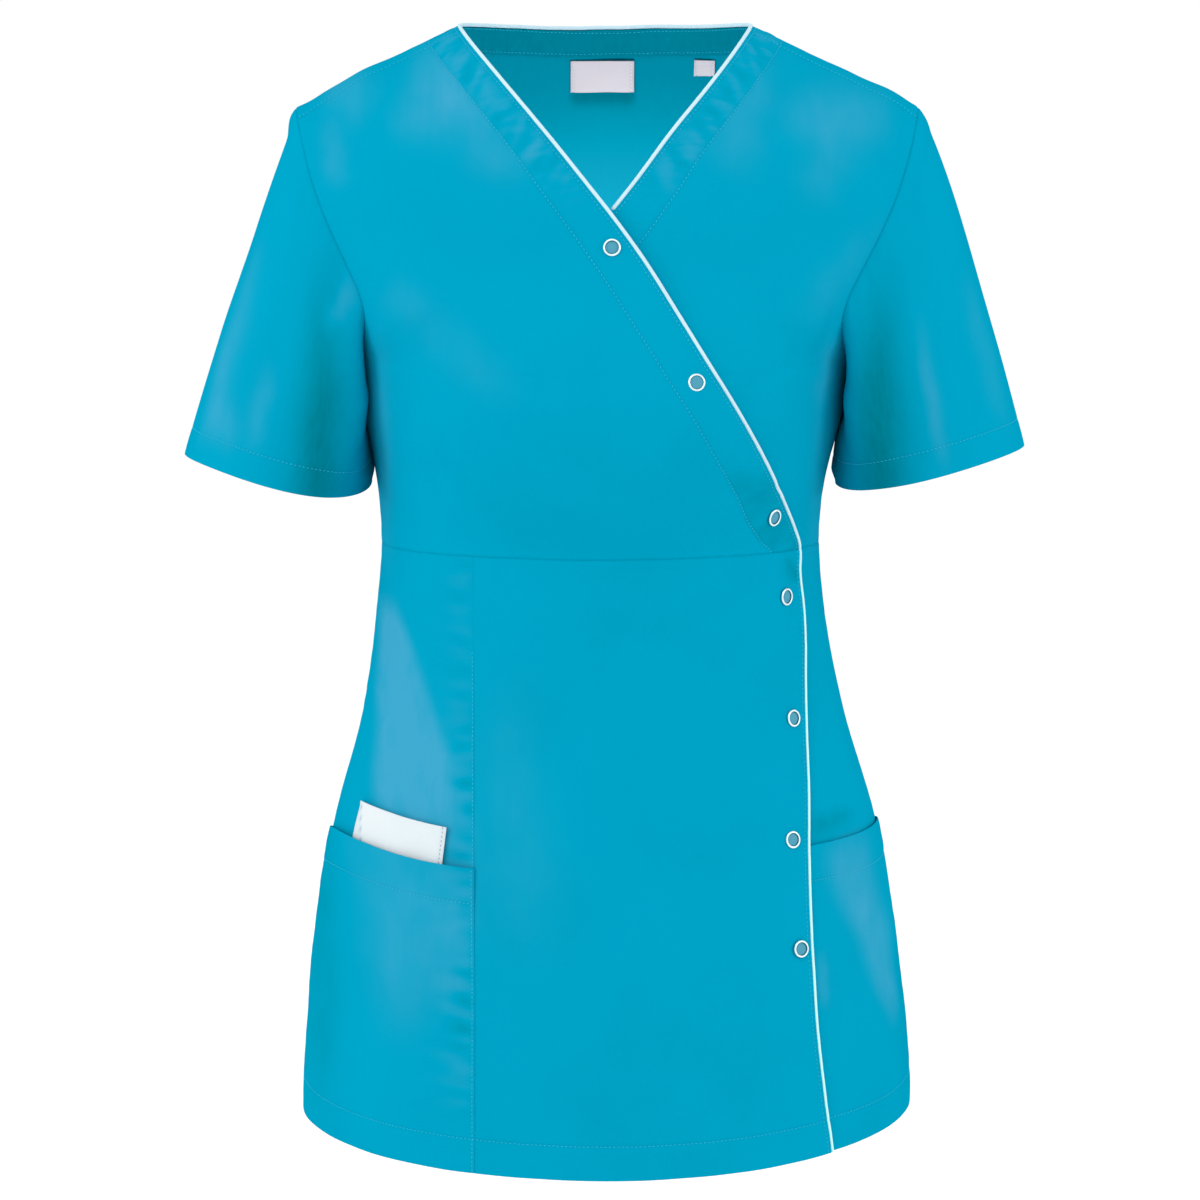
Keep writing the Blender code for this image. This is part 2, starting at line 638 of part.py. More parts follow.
def snap(name, spec, carriers, metal):
    """A ring snap's open ring, standing clear of the outer front where it lies."""
    height = np.array([spec.height])
    point = torso(FRONT, turn_at(np.array([spec.across]), height), height)
    up = Vector(outward(FRONT, point)[0])
    point = Vector(point[0])
    aside = up.cross((0, 0, 1)).normalized()
    above = aside.cross(up)
    turns = [2 * math.pi * i / SNAP_ROUND for i in range(SNAP_ROUND)]
    outs = [math.cos(turn) * aside + math.sin(turn) * above for turn in turns]
    casts = [
        carrier.ray_cast(point + out * reach + up * SNAP_SEARCH, -up)
        for carrier in carriers
        for out in outs
        for reach in (SNAP_RADIUS, SNAP_RADIUS - SNAP_WIRE)
    ]
    nearest = min(distance for _, _, _, distance in casts if distance is not None)
    middle = point + up * (SNAP_SEARCH - nearest + SEAM + SNAP_WIRE)
    vertices, faces = [], []
    for i, out in enumerate(outs):
        for k in range(SNAP_SIDES):
            lean = 2 * math.pi * k / SNAP_SIDES
            reach = SNAP_RADIUS - SNAP_WIRE * (1 - math.cos(lean))
            vertices.append(middle + out * reach + up * SNAP_WIRE * math.sin(lean))
            a, b = i * SNAP_SIDES + k, i * SNAP_SIDES + (k + 1) % SNAP_SIDES
            step = SNAP_SIDES if i < SNAP_ROUND - 1 else SNAP_SIDES * (1 - SNAP_ROUND)
            faces.append((a, b, b + step, a + step))
    return link(name, vertices, faces, metal)


def surface_of(piece):
    mesh = piece.data
    return BVHTree.FromPolygons([v.co for v in mesh.vertices], [face.vertices for face in mesh.polygons])


def tunic():
    cloth = material("turquoise cloth", (0.003, 0.36, 0.58), 0.85)
    white = material("white piping", (0.80, 0.86, 0.88), 0.8)
    bare = material("bare label", (0.80, 0.74, 0.76), 0.8)
    metal = material("snap metal", (0.72, 0.74, 0.76), 0.3, 1.0)

    outer_right = upper_grid(FRONT, side_line(RIGHT), outer_edge, BODICE_COLUMNS)
    under_left = upper_grid(FRONT, side_line(LEFT), under_edge, BODICE_COLUMNS)
    back_upper = upper_grid(BACK, side_line(RIGHT), side_line(LEFT), BACK_COLUMNS, neck_drop)
    back_lower = skirt_grid(BACK, [side_line(RIGHT), side_line(LEFT)], [BACK_COLUMNS])
    back = stacked(back_lower, back_upper)
    panel("back", back, cloth)
    upper_front = panel("bodice_right_outer", outer_right, cloth)
    panel("bodice_left_under", under_left, cloth, under_layer)

    side_right = skirt_grid(FRONT, [side_line(RIGHT), seam_line(RIGHT)], [SIDE_COLUMNS])
    front_right = skirt_grid(FRONT, [seam_line(RIGHT), outer_edge], [FRONT_COLUMNS])
    left = skirt_grid(
        FRONT, [side_line(LEFT), seam_line(LEFT), under_edge], [SIDE_COLUMNS, UNDER_COLUMNS], LEFT
    )
    panel("skirt_side_right", side_right, cloth)
    lower_front = panel("skirt_front_right", front_right, cloth)
    panel("skirt_left_under", left, cloth, under_layer)

    whole = slice(0, SIDE_COLUMNS + 1)
    pocket("pocket_right", RIGHT, side_right, whole, None, cloth)
    pocket("pocket_left", LEFT, left, whole, under_layer, cloth)
    pocket_insert(white)

    sleeve("sleeve_right", RIGHT, outer_right, back_upper, cloth)
    mirrored = Grid(BACK, back_upper.turn[:, ::-1], back_upper.height[:, ::-1])
    sleeve("sleeve_left", LEFT, under_left, mirrored, cloth)

    back_neck_band(back_upper, cloth)
    for spec in LABELS:
        label(spec, bare)

    bodice_edge, skirt_edge = edge_of(outer_right), edge_of(front_right)
    skirt_part = [part[:-1] for part in skirt_edge]
    edge_tube("piping_outer", [skirt_part, bodice_edge], (1, 0, 0), white)
    points, up = edge_of(under_left, under_layer)
    shown = points[:, 2] > UNDER_PIPING_END
    edge_tube("piping_under", [(points[shown], up[shown])], (-1, 0, 0), white)
    neck = points_of(back_upper)[-1]
    keep = np.abs(neck[:, 0]) < NECK_HALF + PIPING_RADIUS
    edge_tube("piping_back", [(neck[keep], outward(BACK, neck[keep]))], (0, 0, 1), white)

    carriers = [surface_of(upper_front), surface_of(lower_front)]
    for number, spec in enumerate(SNAPS, 1):
        snap(f"snap_{number}", spec, carriers, metal)


for thing in list(bpy.data.objects):
    bpy.data.objects.remove(thing, do_unlink=True)
tunic()
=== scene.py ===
"""Looks of the crossover work tunic: fine cloth with its creases, seams, stitches, piping and snaps.

Metres, +Z up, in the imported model's frame. The front faces -Y, the wearer's right is at -X, and the origin is
midway between the two high points of the shoulders.

Each cloth solid is replaced by a fine thin shell on the same surface. A point of that surface is given by its
side (FRONT or BACK), its turn about the vertical axis and its height. A shell's grid has lines close together
along its edges and its lines of stitches, so that seams, hems and stitched grooves are real shapes.
"""

import math
from collections import namedtuple

import bpy
import numpy as np
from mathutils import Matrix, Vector


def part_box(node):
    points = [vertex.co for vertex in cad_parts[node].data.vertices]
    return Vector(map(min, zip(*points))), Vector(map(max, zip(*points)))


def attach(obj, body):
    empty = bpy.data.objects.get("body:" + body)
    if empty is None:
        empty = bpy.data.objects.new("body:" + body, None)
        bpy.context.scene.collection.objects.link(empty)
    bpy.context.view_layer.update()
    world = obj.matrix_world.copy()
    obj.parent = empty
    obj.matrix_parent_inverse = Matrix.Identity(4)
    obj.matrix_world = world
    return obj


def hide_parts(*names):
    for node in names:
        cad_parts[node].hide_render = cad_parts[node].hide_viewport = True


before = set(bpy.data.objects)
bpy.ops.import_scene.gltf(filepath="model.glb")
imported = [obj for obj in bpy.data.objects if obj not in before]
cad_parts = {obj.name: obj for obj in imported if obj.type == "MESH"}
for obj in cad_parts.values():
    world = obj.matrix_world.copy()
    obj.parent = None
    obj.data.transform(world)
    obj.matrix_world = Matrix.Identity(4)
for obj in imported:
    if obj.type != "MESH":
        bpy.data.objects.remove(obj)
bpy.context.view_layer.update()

FRONT, BACK = -1, 1
RIGHT, LEFT = -1, 1  # the wearer's sides, as the sign of X
SQUARE = math.pi / 2


def table(columns, *rows, mm=0):
    """Rows with named columns, of which the first mm are given in millimetres."""
    kind = namedtuple("Row", columns)
    return [kind(*(value / 1000 if place < mm else value for place, value in enumerate(row))) for row in rows]


# ---- sizes of the garment, as in the solids

CLOTH = 0.0012
SEAM = 0.0003

NECK_TOP = 0.003
NECK_HALF = 0.092
BACK_NECK_DROP = 0.0052
SHOULDER_SLOPE = 0.5
RIDGE_ROUND = 0.03
SHOULDER_ROUND = 0.090

ARMHOLE_TURN = math.radians(56)
ARMHOLE_FOOT = -0.203
SCOOP = 0.050
YOKE_DROP = 0.107

EMPIRE_SIDE, EMPIRE_FRONT = -0.322, -0.317
HEM_SIDE = {RIGHT: -0.6870, LEFT: -0.6815}
HEM_MIDDLE = {FRONT: -0.700, BACK: -0.693}
PANEL_SEAM = 0.081

BUST_ACROSS, BUST_HEIGHT, BUST_WIDE, BUST_HIGH, BUST_SWELL = 0.068, -0.228, 0.046, 0.052, 0.075

POCKET_TOP = {RIGHT: (-0.5062, -0.5105), LEFT: (-0.4995, -0.5035)}
POCKET_BOW = {RIGHT: 0.0055, LEFT: 0.0}
POCKET_BOW_LEAN = 1.6
POCKET_GAPE = {RIGHT: 0.0052, LEFT: 0.0008}
POCKET_GAPE_PEAK, POCKET_GAPE_POWER, POCKET_GAPE_DEPTH = 0.75, 1.6, 0.070

INSERT_OUTER, INSERT_INNER = -0.158, -0.100
INSERT_RISE, INSERT_TUCK = 0.0225, 0.012
INSERT_CLOTH, INSERT_GAP = 0.0010, 0.0008

PIPING_RADIUS, PIPING_SINK = 0.0012, 0.0002
UNDER_PIPING_END = -0.104
BAND_DEPTH, BAND_GAP = 0.0175, 0.0008
LABEL_CLOTH, LABEL_GAP = 0.0010, 0.0010
SNAP_RADIUS, SNAP_WIRE = 0.0054, 0.0006
LAYER_BODICE, LAYER_SKIRT = 0.0031, 0.0042
LAYER_RUN = (0.02, 0.40)

TORSO = table(
    "height half_width front back shift",
    (0.020, 0.250, 0.066, 0.078, 0.000),
    (-0.050, 0.234, 0.086, 0.102, 0.001),
    (-0.100, 0.216, 0.099, 0.112, 0.001),
    (-0.150, 0.188, 0.112, 0.116, 0.000),
    (-0.200, 0.1580, 0.126, 0.115, -0.002),
    (-0.240, 0.1490, 0.130, 0.110, -0.003),
    (-0.280, 0.1415, 0.126, 0.102, -0.003),
    (-0.320, 0.1385, 0.117, 0.096, -0.003),
    (-0.360, 0.1415, 0.114, 0.096, -0.003),
    (-0.430, 0.1530, 0.117, 0.105, -0.001),
    (-0.500, 0.1725, 0.125, 0.118, 0.000),
    (-0.570, 0.1845, 0.135, 0.130, 0.000),
    (-0.640, 0.1915, 0.143, 0.137, 0.001),
    (-0.710, 0.1945, 0.148, 0.141, 0.001),
)
CROSSING = table(
    "height outer under",
    (0.003, -0.0920, 0.0920),
    (-0.025, -0.0663, 0.0690),
    (-0.056, -0.0388, 0.0425),
    (-0.087, -0.0132, 0.0188),
    (-0.106, 0.0022, 0.0030),
    (-0.133, 0.0221, -0.0205),
    (-0.164, 0.0420, -0.0405),
    (-0.196, 0.0622, -0.0610),
    (-0.226, 0.0808, -0.0800),
    (-0.257, 0.0972, -0.0965),
    (-0.288, 0.1106, -0.1100),
    (-0.306, 0.1176, -0.1170),
    (-0.319, 0.1214, -0.1210),
    (-0.333, 0.1213, -0.1213),
    (-0.360, 0.1238, -0.1238),
    (-0.440, 0.1254, -0.1254),
    (-0.506, 0.1266, -0.1266),
    (-0.568, 0.1288, -0.1288),
    (-0.614, 0.1313, -0.1313),
    (-0.661, 0.1373, -0.1373),
    (-0.710, 0.1440, -0.1440),
)
SNAPS = table(
    "height across",
    (-0.1261, 0.0041),
    (-0.2064, 0.0555),
    (-0.2959, 0.1046),
    (-0.3477, 0.1126),
    (-0.4231, 0.1172),
    (-0.4965, 0.1166),
    (-0.5640, 0.1219),
)
LABELS = table(
    "name left right top bottom",
    ("neck_label", -0.0222, 0.0188, -0.0225, -0.0430),
    ("side_tag", 0.0578, 0.0708, -0.0210, -0.0310),
)
CUFF_RIGHT, CUFF_LEFT = table(
    "outer inner half_depth front_sag front_lean back_sag swell tuck",
    ((-0.2655, 0.0, -0.2655), (-0.1482, 0.0, -0.2842), 0.064, 0.0046, 0.0068, 0.002, 0.0028, 0.009),
    ((0.2650, 0.0, -0.2602), (0.1470, 0.0, -0.2850), 0.064, 0.0002, 0.0035, 0.002, 0.0048, 0.005),
)
CUFFS = {RIGHT: CUFF_RIGHT, LEFT: CUFF_LEFT}
CAP_RISE, CAP_RUN = 0.0010, 0.08  # the sleeve head's fullness, over this share of its length
CAP_WAY = (0.95, 0.32)  # which way the sleeve's fullness stands, outward and upward
TUCK_AT, TUCK_HALF = 0.22, 0.13  # where the front's fold lies and half its width, as shares of the front half
TUCK_WAY = (0.93, 0.37)  # which way the fold stands, towards the body and forward
UNDERARM_RISE, UNDERARM_RUN, UNDERARM_FADE = 0.0022, 0.15, 0.6

# ---- sizes of the finer form

FINE = 0.0007  # thickness of one layer of the cloth
DOUBLE = 0.6  # how much thicker it is where it is folded over, as a share
HEM_LINE, SLEEVE_HEM_LINE, POCKET_LINE = 0.021, 0.0175, 0.022  # from a folded edge to its stitches
BAND_LINE = (0.0205, 0.0260)  # from the crossing edge to the band's stitches, at the neck and at the bust
EDGE_LINE = 0.0022  # from a piped edge to the stitches that hold the piping
SHOULDER_LINE = 0.0185  # from the shoulder seam to the fronts' stitches beside it
PRINCESS_LINE, PRINCESS_TOP = 0.0014, -0.375  # from a skirt's vertical seam to its stitches, and their top
LABEL_LINE, INSERT_LINE, NECK_BAND_LINE = 0.0015, 0.0022, 0.0025  # from their edges to their stitches
SNAP_DIP, SNAP_DIP_HALF = 0.00035, 0.0075  # of the cloth round a snap
RING_POINTS, DISC_SWELL = 56, 0.00035  # points round a snap, and how far the cloth swells inside it
STEP = 0.0022  # between a shell's lines, away from edges and stitches
BAND_SHADE = -0.68  # how much the band inside the back neck lies in shade

PIPING_TIP = 0.0040  # how far the fronts' piping runs on over the shoulder
CROSSING_TIP = 0.0016  # how far the under front's piping runs on toward the crossing edge
NECK_TIP = 0.0012  # how far the back neck's piping runs on at each end
PIPING_END = 0.0003  # how far the outer piping runs on at the hem
PIPING_SLIM = 0.20  # the share that the piping is thinner along the skirt

SEAM_DIP, SEAM_ROUND = 0.00042, 0.0009  # how deep a seam lies, and how far beside it the cloth rounds into it
GROOVE, GROOVE_HALF = 0.00028, 0.0007  # of a line of stitches
PUCKER_PITCH = 0.0085  # between the puckers along a seam

THREAD, STITCH, STITCH_PITCH = 0.00024, 0.0016, 0.0027  # a thread's radius, a stitch's length, their spacing
# the rings of a stitch: how far along it, how far out of the cloth, and how thick as a share
STITCH_SHAPE = [(0.0, -0.00022, 0.6), (0.22, 0.00006, 1.0), (0.78, 0.00006, 1.0), (1.0, -0.00022, 0.6)]

# Soft ridges and troughs of the body's cloth, each along a line from one point to another, across and up.
# bow is how far the line bows aside, rise is out of the cloth and below 0 for a trough, and half is half the
# width.
RIDGE = "u0 v0 u1 v1 bow rise half"
CREASES = {
    FRONT: table(
        RIDGE,
        # the right side's long soft fold, from the waist to the pocket
        (-128, -352, -86, -500, 6, 2.4, 13),
        (-98, -345, -66, -455, 4, -1, 12),
        # folds above the seam under the right bust
        (-101, -236, -107, -312, 2, -1.4, 4.5),
        (-98, -238, -90, -312, -2, -1.3, 4.5),
        (-100, -262, -97, -314, 0, 1.2, 4.5),
        (-89, -242, -82, -296, 0, -1, 4),
        # a trough beside the left armhole
        (142.5, -164, 129, -200, 1, -1.7, 4),
        # drag lines from the underarms to the bust
        (-149, -186, -82, -158, 5, 1.3, 8.5),
        (-150, -202, -96, -190, 4, -1.1, 7),
        (149, -188, 86, -164, -4, 1.2, 8),
        (150, -204, 104, -196, -4, -1, 7),
        # ridges and hollows below the shoulders
        (-138, -40, -88, -92, -8, 1.5, 16),
        (140, -42, 96, -90, 8, 1.4, 15),
        (-150, -85, -115, -150, -5, -1.4, 12),
        (150, -85, 118, -150, 5, -1.3, 12),
        # short folds that the snaps pull
        (113, -276, 92, -296, -6, -1.3, 3.5),
        (117, -308, 96, -312, 4, -1.3, 3),
        (104, -286, 86, -262, 2, 1, 4),
        (119, -336, 108, -330, 2, -1.1, 3),
        (120, -352, 112, -366, 2, -1.1, 3),
        (110, -352, 78, -366, 3, 0.9, 6),
        (110, -340, 74, -336, 2, -0.8, 6),
        (114, -427, 82, -446, 4, 0.8, 7),
        (114, -500, 80, -488, 4, -0.8, 8),
        (119, -568, 88, -590, 4, 0.8, 8),
        # the skirt's wide soft folds down to the hem, and those at its sides
        (-30, -430, -46, -690, 8, 1.4, 20),
        (40, -400, 52, -690, -8, 1.3, 22),
        (2, -470, 6, -700, 6, -1.2, 19),
        (-132, -520, -122, -610, 4, 1.6, 13),
        (-154, -530, -152, -680, 2, -1.4, 8),
        (158, -508, 182, -590, 4, 1.6, 6.5),
        (150, -515, 160, -600, 4, -1.2, 6.5),
        (140, -420, 152, -490, 2, -1, 7),
        mm=7,
    ),
    BACK: table(
        RIDGE,
        # drag lines from the armholes, folds at the waist and below it
        (-146, -180, -70, -140, 6, 1.4, 9),
        (-148, -204, -84, -186, 4, -1.2, 8),
        (146, -184, 74, -146, -6, 1.3, 9),
        (148, -208, 90, -194, -4, -1.2, 8),
        (-120, -50, -70, -110, 8, -1.4, 15),
        (122, -52, 76, -112, -8, -1.3, 15),
        (-118, -290, -52, -318, 6, 1.5, 8),
        (-124, -318, -40, -342, 6, -1.4, 8),
        (120, -296, 50, -326, -6, 1.4, 8),
        (124, -324, 34, -350, -6, -1.3, 8.5),
        (-62, -380, -92, -690, 10, 1.8, 20),
        (-16, -400, -28, -690, -6, -1.5, 19),
        (30, -390, 40, -690, 8, 1.6, 21),
        (78, -400, 108, -690, -8, -1.5, 18),
        (-132, -450, -160, -680, 4, -1.3, 15),
        mm=7,
    ),
}
# The sleeves' creases: shares round from the underarm over the front to the top and on round the back, and
# shares down the sleeve. Only rise is in metres.
FOLDS = {
    RIGHT: table(
        RIDGE,
        (0.3, 0.3, 0.33, 0.98, 0.004, -0.0018, 0.03),
        (0.21, 0.18, 0.22, 0.95, 0.004, 0.0016, 0.03),
        (0.39, 0.3, 0.41, 0.99, 0.004, 0.0014, 0.03),
        (0.05, 0.06, 0.15, 0.55, 0.004, 0.0016, 0.02),
        (0.03, 0.16, 0.11, 0.8, 0.004, -0.0016, 0.022),
        (0.7, 0.2, 0.67, 0.95, 0.004, -0.0017, 0.032),
        (0.8, 0.15, 0.78, 0.9, 0.004, 0.0016, 0.03),
        (0.94, 0.05, 0.86, 0.6, 0.004, 0.0015, 0.022),
        (0.55, 0.25, 0.56, 0.95, 0.004, 0.001, 0.04),
    ),
    LEFT: table(
        RIDGE,
        (0.27, 0.28, 0.31, 0.98, 0.004, 0.0017, 0.028),
        (0.2, 0.2, 0.21, 0.95, 0.004, -0.0015, 0.028),
        (0.38, 0.3, 0.39, 0.99, 0.004, -0.0013, 0.032),
        (0.05, 0.06, 0.14, 0.6, 0.004, 0.0016, 0.02),
        (0.03, 0.18, 0.1, 0.85, 0.004, -0.0016, 0.022),
        (0.71, 0.2, 0.69, 0.95, 0.004, 0.0016, 0.03),
        (0.82, 0.15, 0.8, 0.9, 0.004, -0.0015, 0.03),
        (0.94, 0.05, 0.87, 0.6, 0.004, 0.0015, 0.022),
    ),
}
SLEEVE_STRETCH = 0.4  # what a sleeve's shares down it are worth beside its shares round it

# Soft gleams of the cloth, and below 0 shaded hollows. Each lies along a line, with half its width at both
# ends. edge is how sharp its sides are, from 2.
PATCH = "u0 v0 u1 v1 half0 half1 share edge"
GLEAMS = {
    FRONT: table(
        PATCH,
        # right shoulder and chest
        (-107, -12, -90, -50, 11, 23, 0.74, 2),
        (-98, -40, -50, -80, 15, 13, 0.36, 2),
        (-130, -52, -98, -46, 12, 16, 0.26, 2),
        (-176, -30, -144, -44, 10, 14, 0.36, 2),
        (-168, -56, -166, -92, 7, 7, 0.3, 2),
        (-134, -156, -110, -166, 11, 9, 0.18, 2),
        (-112, -170, -58, -216, 14, 12, 0.12, 2),
        # left chest
        (116, -46, 174, -54, 13, 15, 0.42, 2),
        (95, -20, 74, -78, 11, 16, 0.3, 2),
        (142, -54, 130, -100, 16, 11, 0.24, 2),
        (166, -120, 122, -172, 8, 12, 0.12, 2),
        (142, -190, 133, -228, 5, 6, 0.25, 2),
        # flanks, beside the sleeves
        (-140, -200, -138.5, -330, 5, 5, 0.22, 2),
        (133, -230, 133, -330, 4, 4, 0.12, 2),
        # skirt: the right side's wide gleam above the pocket, and what goes on below the mouth
        (-137.5, -362, -129, -490, 7, 16, 0.95, 5),
        (-131, -366, -98, -492, 7, 18, 0.95, 4),
        (-128, -500, -122, -612, 24, 16, 0.4, 2),
        (-98, -505, -96, -606, 15, 9, 0.34, 2),
        (-60, -415, -48, -555, 16, 24, 0.12, 2),
        (-179, -490, -180, -690, 12, 11, -0.28, 2),
        # left pocket, with the shade above its mouth
        (152, -507, 182, -618, 12, 5, 0.66, 3),
        (136, -572, 139, -602, 3, 3, 0.4, 2),
        (186, -520, 194, -670, 5, 6, -0.2, 2),
        (126, -491, 156, -488, 7, 6, -0.4, 2),
        # the fold that the fourth snap pulls
        (113, -324, 121, -341, 3, 4, -0.4, 2),
        mm=6,
    ),
    BACK: table(
        PATCH,
        (-140, -34, -66, -72, 14, 22, 0.3, 2),
        (134, -40, 58, -82, 16, 20, 0.26, 2),
        (-112, -138, -40, -212, 18, 15, 0.14, 2),
        (96, -150, 52, -244, 18, 14, 0.12, 2),
        (-112, -370, -134, -560, 8, 20, 0.46, 2),
        (108, -380, 132, -590, 8, 18, 0.36, 2),
        (-36, -400, -54, -640, 14, 20, 0.13, 2),
        mm=6,
    ),
}
# The same for the sleeves, with shares round and down as above.
SHINES = {
    RIGHT: table(
        PATCH,
        (0.42, 0.42, 0.4, 0.9, 0.03, 0.03, 0.45, 2),
        (0.31, 0.62, 0.3, 0.88, 0.018, 0.018, 0.28, 2),
        (0.41, 0.84, 0.33, 0.87, 0.024, 0.024, 0.4, 2),
        (0.205, 0.03, 0.235, 0.3, 0.016, 0.016, 0.45, 2),
        (0.235, 0.24, 0.15, 1.3, 0.04, 0.04, -0.85, 2),
        (0.04, 0.35, 0.03, 1.3, 0.03, 0.03, -0.6, 2),
        (0.62, 0.3, 0.64, 0.86, 0.03, 0.03, 0.4, 2),
        (0.72, 0.6, 0.6, 0.84, 0.03, 0.03, 0.3, 2),
        (0.8, 0.24, 0.86, 1.3, 0.04, 0.04, -0.7, 2),
    ),
    LEFT: table(
        PATCH,
        (0.285, 0.46, 0.262, 0.94, 0.012, 0.012, 0.4, 2),
        (0.42, 0.5, 0.41, 0.9, 0.026, 0.026, 0.2, 2),
        (0.215, 0.22, 0.13, 1.3, 0.046, 0.046, -0.9, 2),
        (0.04, 0.35, 0.03, 1.3, 0.034, 0.034, -0.6, 2),
        (0.66, 0.35, 0.65, 0.9, 0.024, 0.024, 0.4, 2),
        (0.8, 0.24, 0.86, 1.3, 0.04, 0.04, -0.7, 2),
    ),
}
# Small waves of the shoulder line.
SHOULDER_WAVES = table(
    "across half rise",
    (-0.150, 0.013, 0.0014),
    (-0.187, 0.010, -0.0016),
    (0.152, 0.014, 0.0008),
    (0.177, 0.013, 0.0020),
)
FLANK_SWELL = {RIGHT: 0.0013, LEFT: 0.0038}  # of the body beside the sleeves
FLANK_HEIGHT, FLANK_HALF = -0.238, 0.031
HEAD_FALL = {RIGHT: -0.0024, LEFT: 0.0}  # how far a sleeve falls in below its head
INNER_SWELL = {RIGHT: 0.0044, LEFT: 0.0057}  # how far it swells towards the body near its opening

# ---- the body's surface


def smooth(rows, column, height):
    """The named column of a table at a height, on a smooth curve through its rows."""
    known = np.array([row.height for row in rows])[::-1]
    value = np.array([getattr(row, column) for row in rows])[::-1]
    slope = np.gradient(value, known)
    at = np.clip(np.searchsorted(known, height) - 1, 0, len(known) - 2)
    step = known[at + 1] - known[at]
    t = np.clip((height - known[at]) / step, 0, 1)
    start = value[at] + t * step * slope[at]
    end = value[at + 1] - (1 - t) * step * slope[at + 1]
    share = t * t * (3 - 2 * t)
    level = value[at] * (1 - share) + value[at + 1] * share
    return level + ((start - value[at]) * (1 - t) ** 2 + (end - value[at + 1]) * t**2)


def ease(low, high, value):
    """0 below low, 1 above high, and smooth between."""
    t = np.clip((value - low) / (high - low), 0, 1)
    return t * t * (3 - 2 * t)


def bell(value, half):
    """1 at 0, and less on both sides of it."""
    return np.exp(-((value / half) ** 2))


def ridge(across):
    """Height of the shoulder line."""
    run = np.hypot(across, RIDGE_ROUND) - math.hypot(NECK_HALF, RIDGE_ROUND)
    return NECK_TOP - SHOULDER_SLOPE * run


def across_at(turn, height):
    """How far across the surface lies at a turn."""
    return smooth(TORSO, "shift", height) + smooth(TORSO, "half_width", height) * np.sin(turn)


def share_across(across, height):
    """How far across a point lies, from -1 at the right side to 1 at the left."""
    return (across - smooth(TORSO, "shift", height)) / smooth(TORSO, "half_width", height)


def turn_at(across, height):
    """The turn at which the surface lies that far across."""
    return np.arcsin(np.clip(share_across(across, height), -1, 1))


def height_below_ridge(turn, drop):
    """The height that lies that far below the shoulder line."""
    height = np.zeros_like(turn + drop)
    for _ in range(30):
        height = ridge(across_at(turn, height)) - drop
    return height


def depth_at(side, across, height):
    """The surface's greatest depth at a height, and at the front the bust's fullness on it."""
    if side == BACK:
        return smooth(TORSO, "back", height)
    busts = bell(across - BUST_ACROSS, BUST_WIDE) + bell(across + BUST_ACROSS, BUST_WIDE)
    return smooth(TORSO, "front", height) * (1 + BUST_SWELL * bell(height - BUST_HEIGHT, BUST_HIGH) * busts)


def torso(side, turn, height):
    """Points of the body's outer surface."""
    across = across_at(turn, height)
    over = 1 - np.clip((ridge(across) - height) / SHOULDER_ROUND, 0, 1)
    out = side * depth_at(side, across, height) * np.cos(turn) * np.sqrt(1 - over**2)
    return np.stack([across, out, height + 0 * turn], axis=-1)


def outside(side, point):
    """Above 0 outside the body's surface, 0 on it: its gradient points straight out."""
    across, out, height = point[..., 0], point[..., 1], point[..., 2]
    over = 1 - np.minimum((ridge(across) - height) / SHOULDER_ROUND, 1)
    round_ = (1 - share_across(across, height) ** 2) * (1 - over**2)
    return (out / depth_at(side, across, height)) ** 2 - round_


def unit(vectors):
    """The vectors, each with a length of 1."""
    return vectors / np.maximum(np.linalg.norm(vectors, axis=-1, keepdims=True), 1e-12)


def outward(side, point):
    """Unit vectors straight out of the body's surface."""
    reach = 1e-5
    slope = [outside(side, point + reach * way) - outside(side, point - reach * way) for way in np.eye(3)]
    return unit(np.stack(slope, axis=-1))


# ---- seam and edge lines


def armhole_turn(height):
    """Turn of the side seam and, above it, of the armhole."""
    rise = np.clip((height - ARMHOLE_FOOT) / SCOOP, 0, 1)
    return SQUARE - (SQUARE - ARMHOLE_TURN) * np.sqrt(1 - (1 - rise) ** 2)


def empire(turn):
    """Height of the seam under the bust."""
    return EMPIRE_SIDE + (EMPIRE_FRONT - EMPIRE_SIDE) * np.cos(turn)


def hem(side, turn):
    """Height of the curved hem."""
    at_side = np.where(turn < 0, HEM_SIDE[RIGHT], HEM_SIDE[LEFT])
    return at_side + (HEM_MIDDLE[side] - at_side) * np.cos(turn)


def pocket_top(sign, turn):
    """Height of a pocket's mouth."""
    at_side, at_inner = POCKET_TOP[sign]
    inner_turn = turn_at(PANEL_SEAM, at_inner)
    share = np.clip((np.abs(turn) - inner_turn) / (SQUARE - inner_turn), 0, 1)
    bow = POCKET_BOW[sign] * np.sin(math.pi * share**POCKET_BOW_LEAN)
    return at_inner + (at_side - at_inner) * share + bow


def pocket_gape(share):
    """How far a pocket's mouth stands off, from the side seam to its inner edge, as a share of the most."""
    peak = POCKET_GAPE_PEAK
    rise = (share / peak) ** peak * ((1 - share) / (1 - peak)) ** (1 - peak)
    return rise**POCKET_GAPE_POWER


# Lines across the body, each as a function from heights to turns.


def outer_edge(height):
    """The outer front's crossing edge."""
    return turn_at(smooth(CROSSING, "outer", height), height)


def under_edge(height):
    """The under front's hidden edge."""
    return turn_at(smooth(CROSSING, "under", height), height)


def seam_line(sign):
    """A skirt's vertical seam."""
    return lambda height: turn_at(sign * PANEL_SEAM + 0 * height, height)


def side_line(sign):
    """The side seam and, above it, the armhole."""
    return lambda height: sign * armhole_turn(height)


def under_layer(point):
    """How far the under front lies inside the outer level."""
    height = point[..., 2]
    full = LAYER_BODICE + (LAYER_SKIRT - LAYER_BODICE) * ease(0.33, 0.46, -height)
    past = turn_at(point[..., 0], height) - outer_edge(height)
    return full * (1 - ease(*LAYER_RUN, past))


# ---- plain grids, as the solids have them

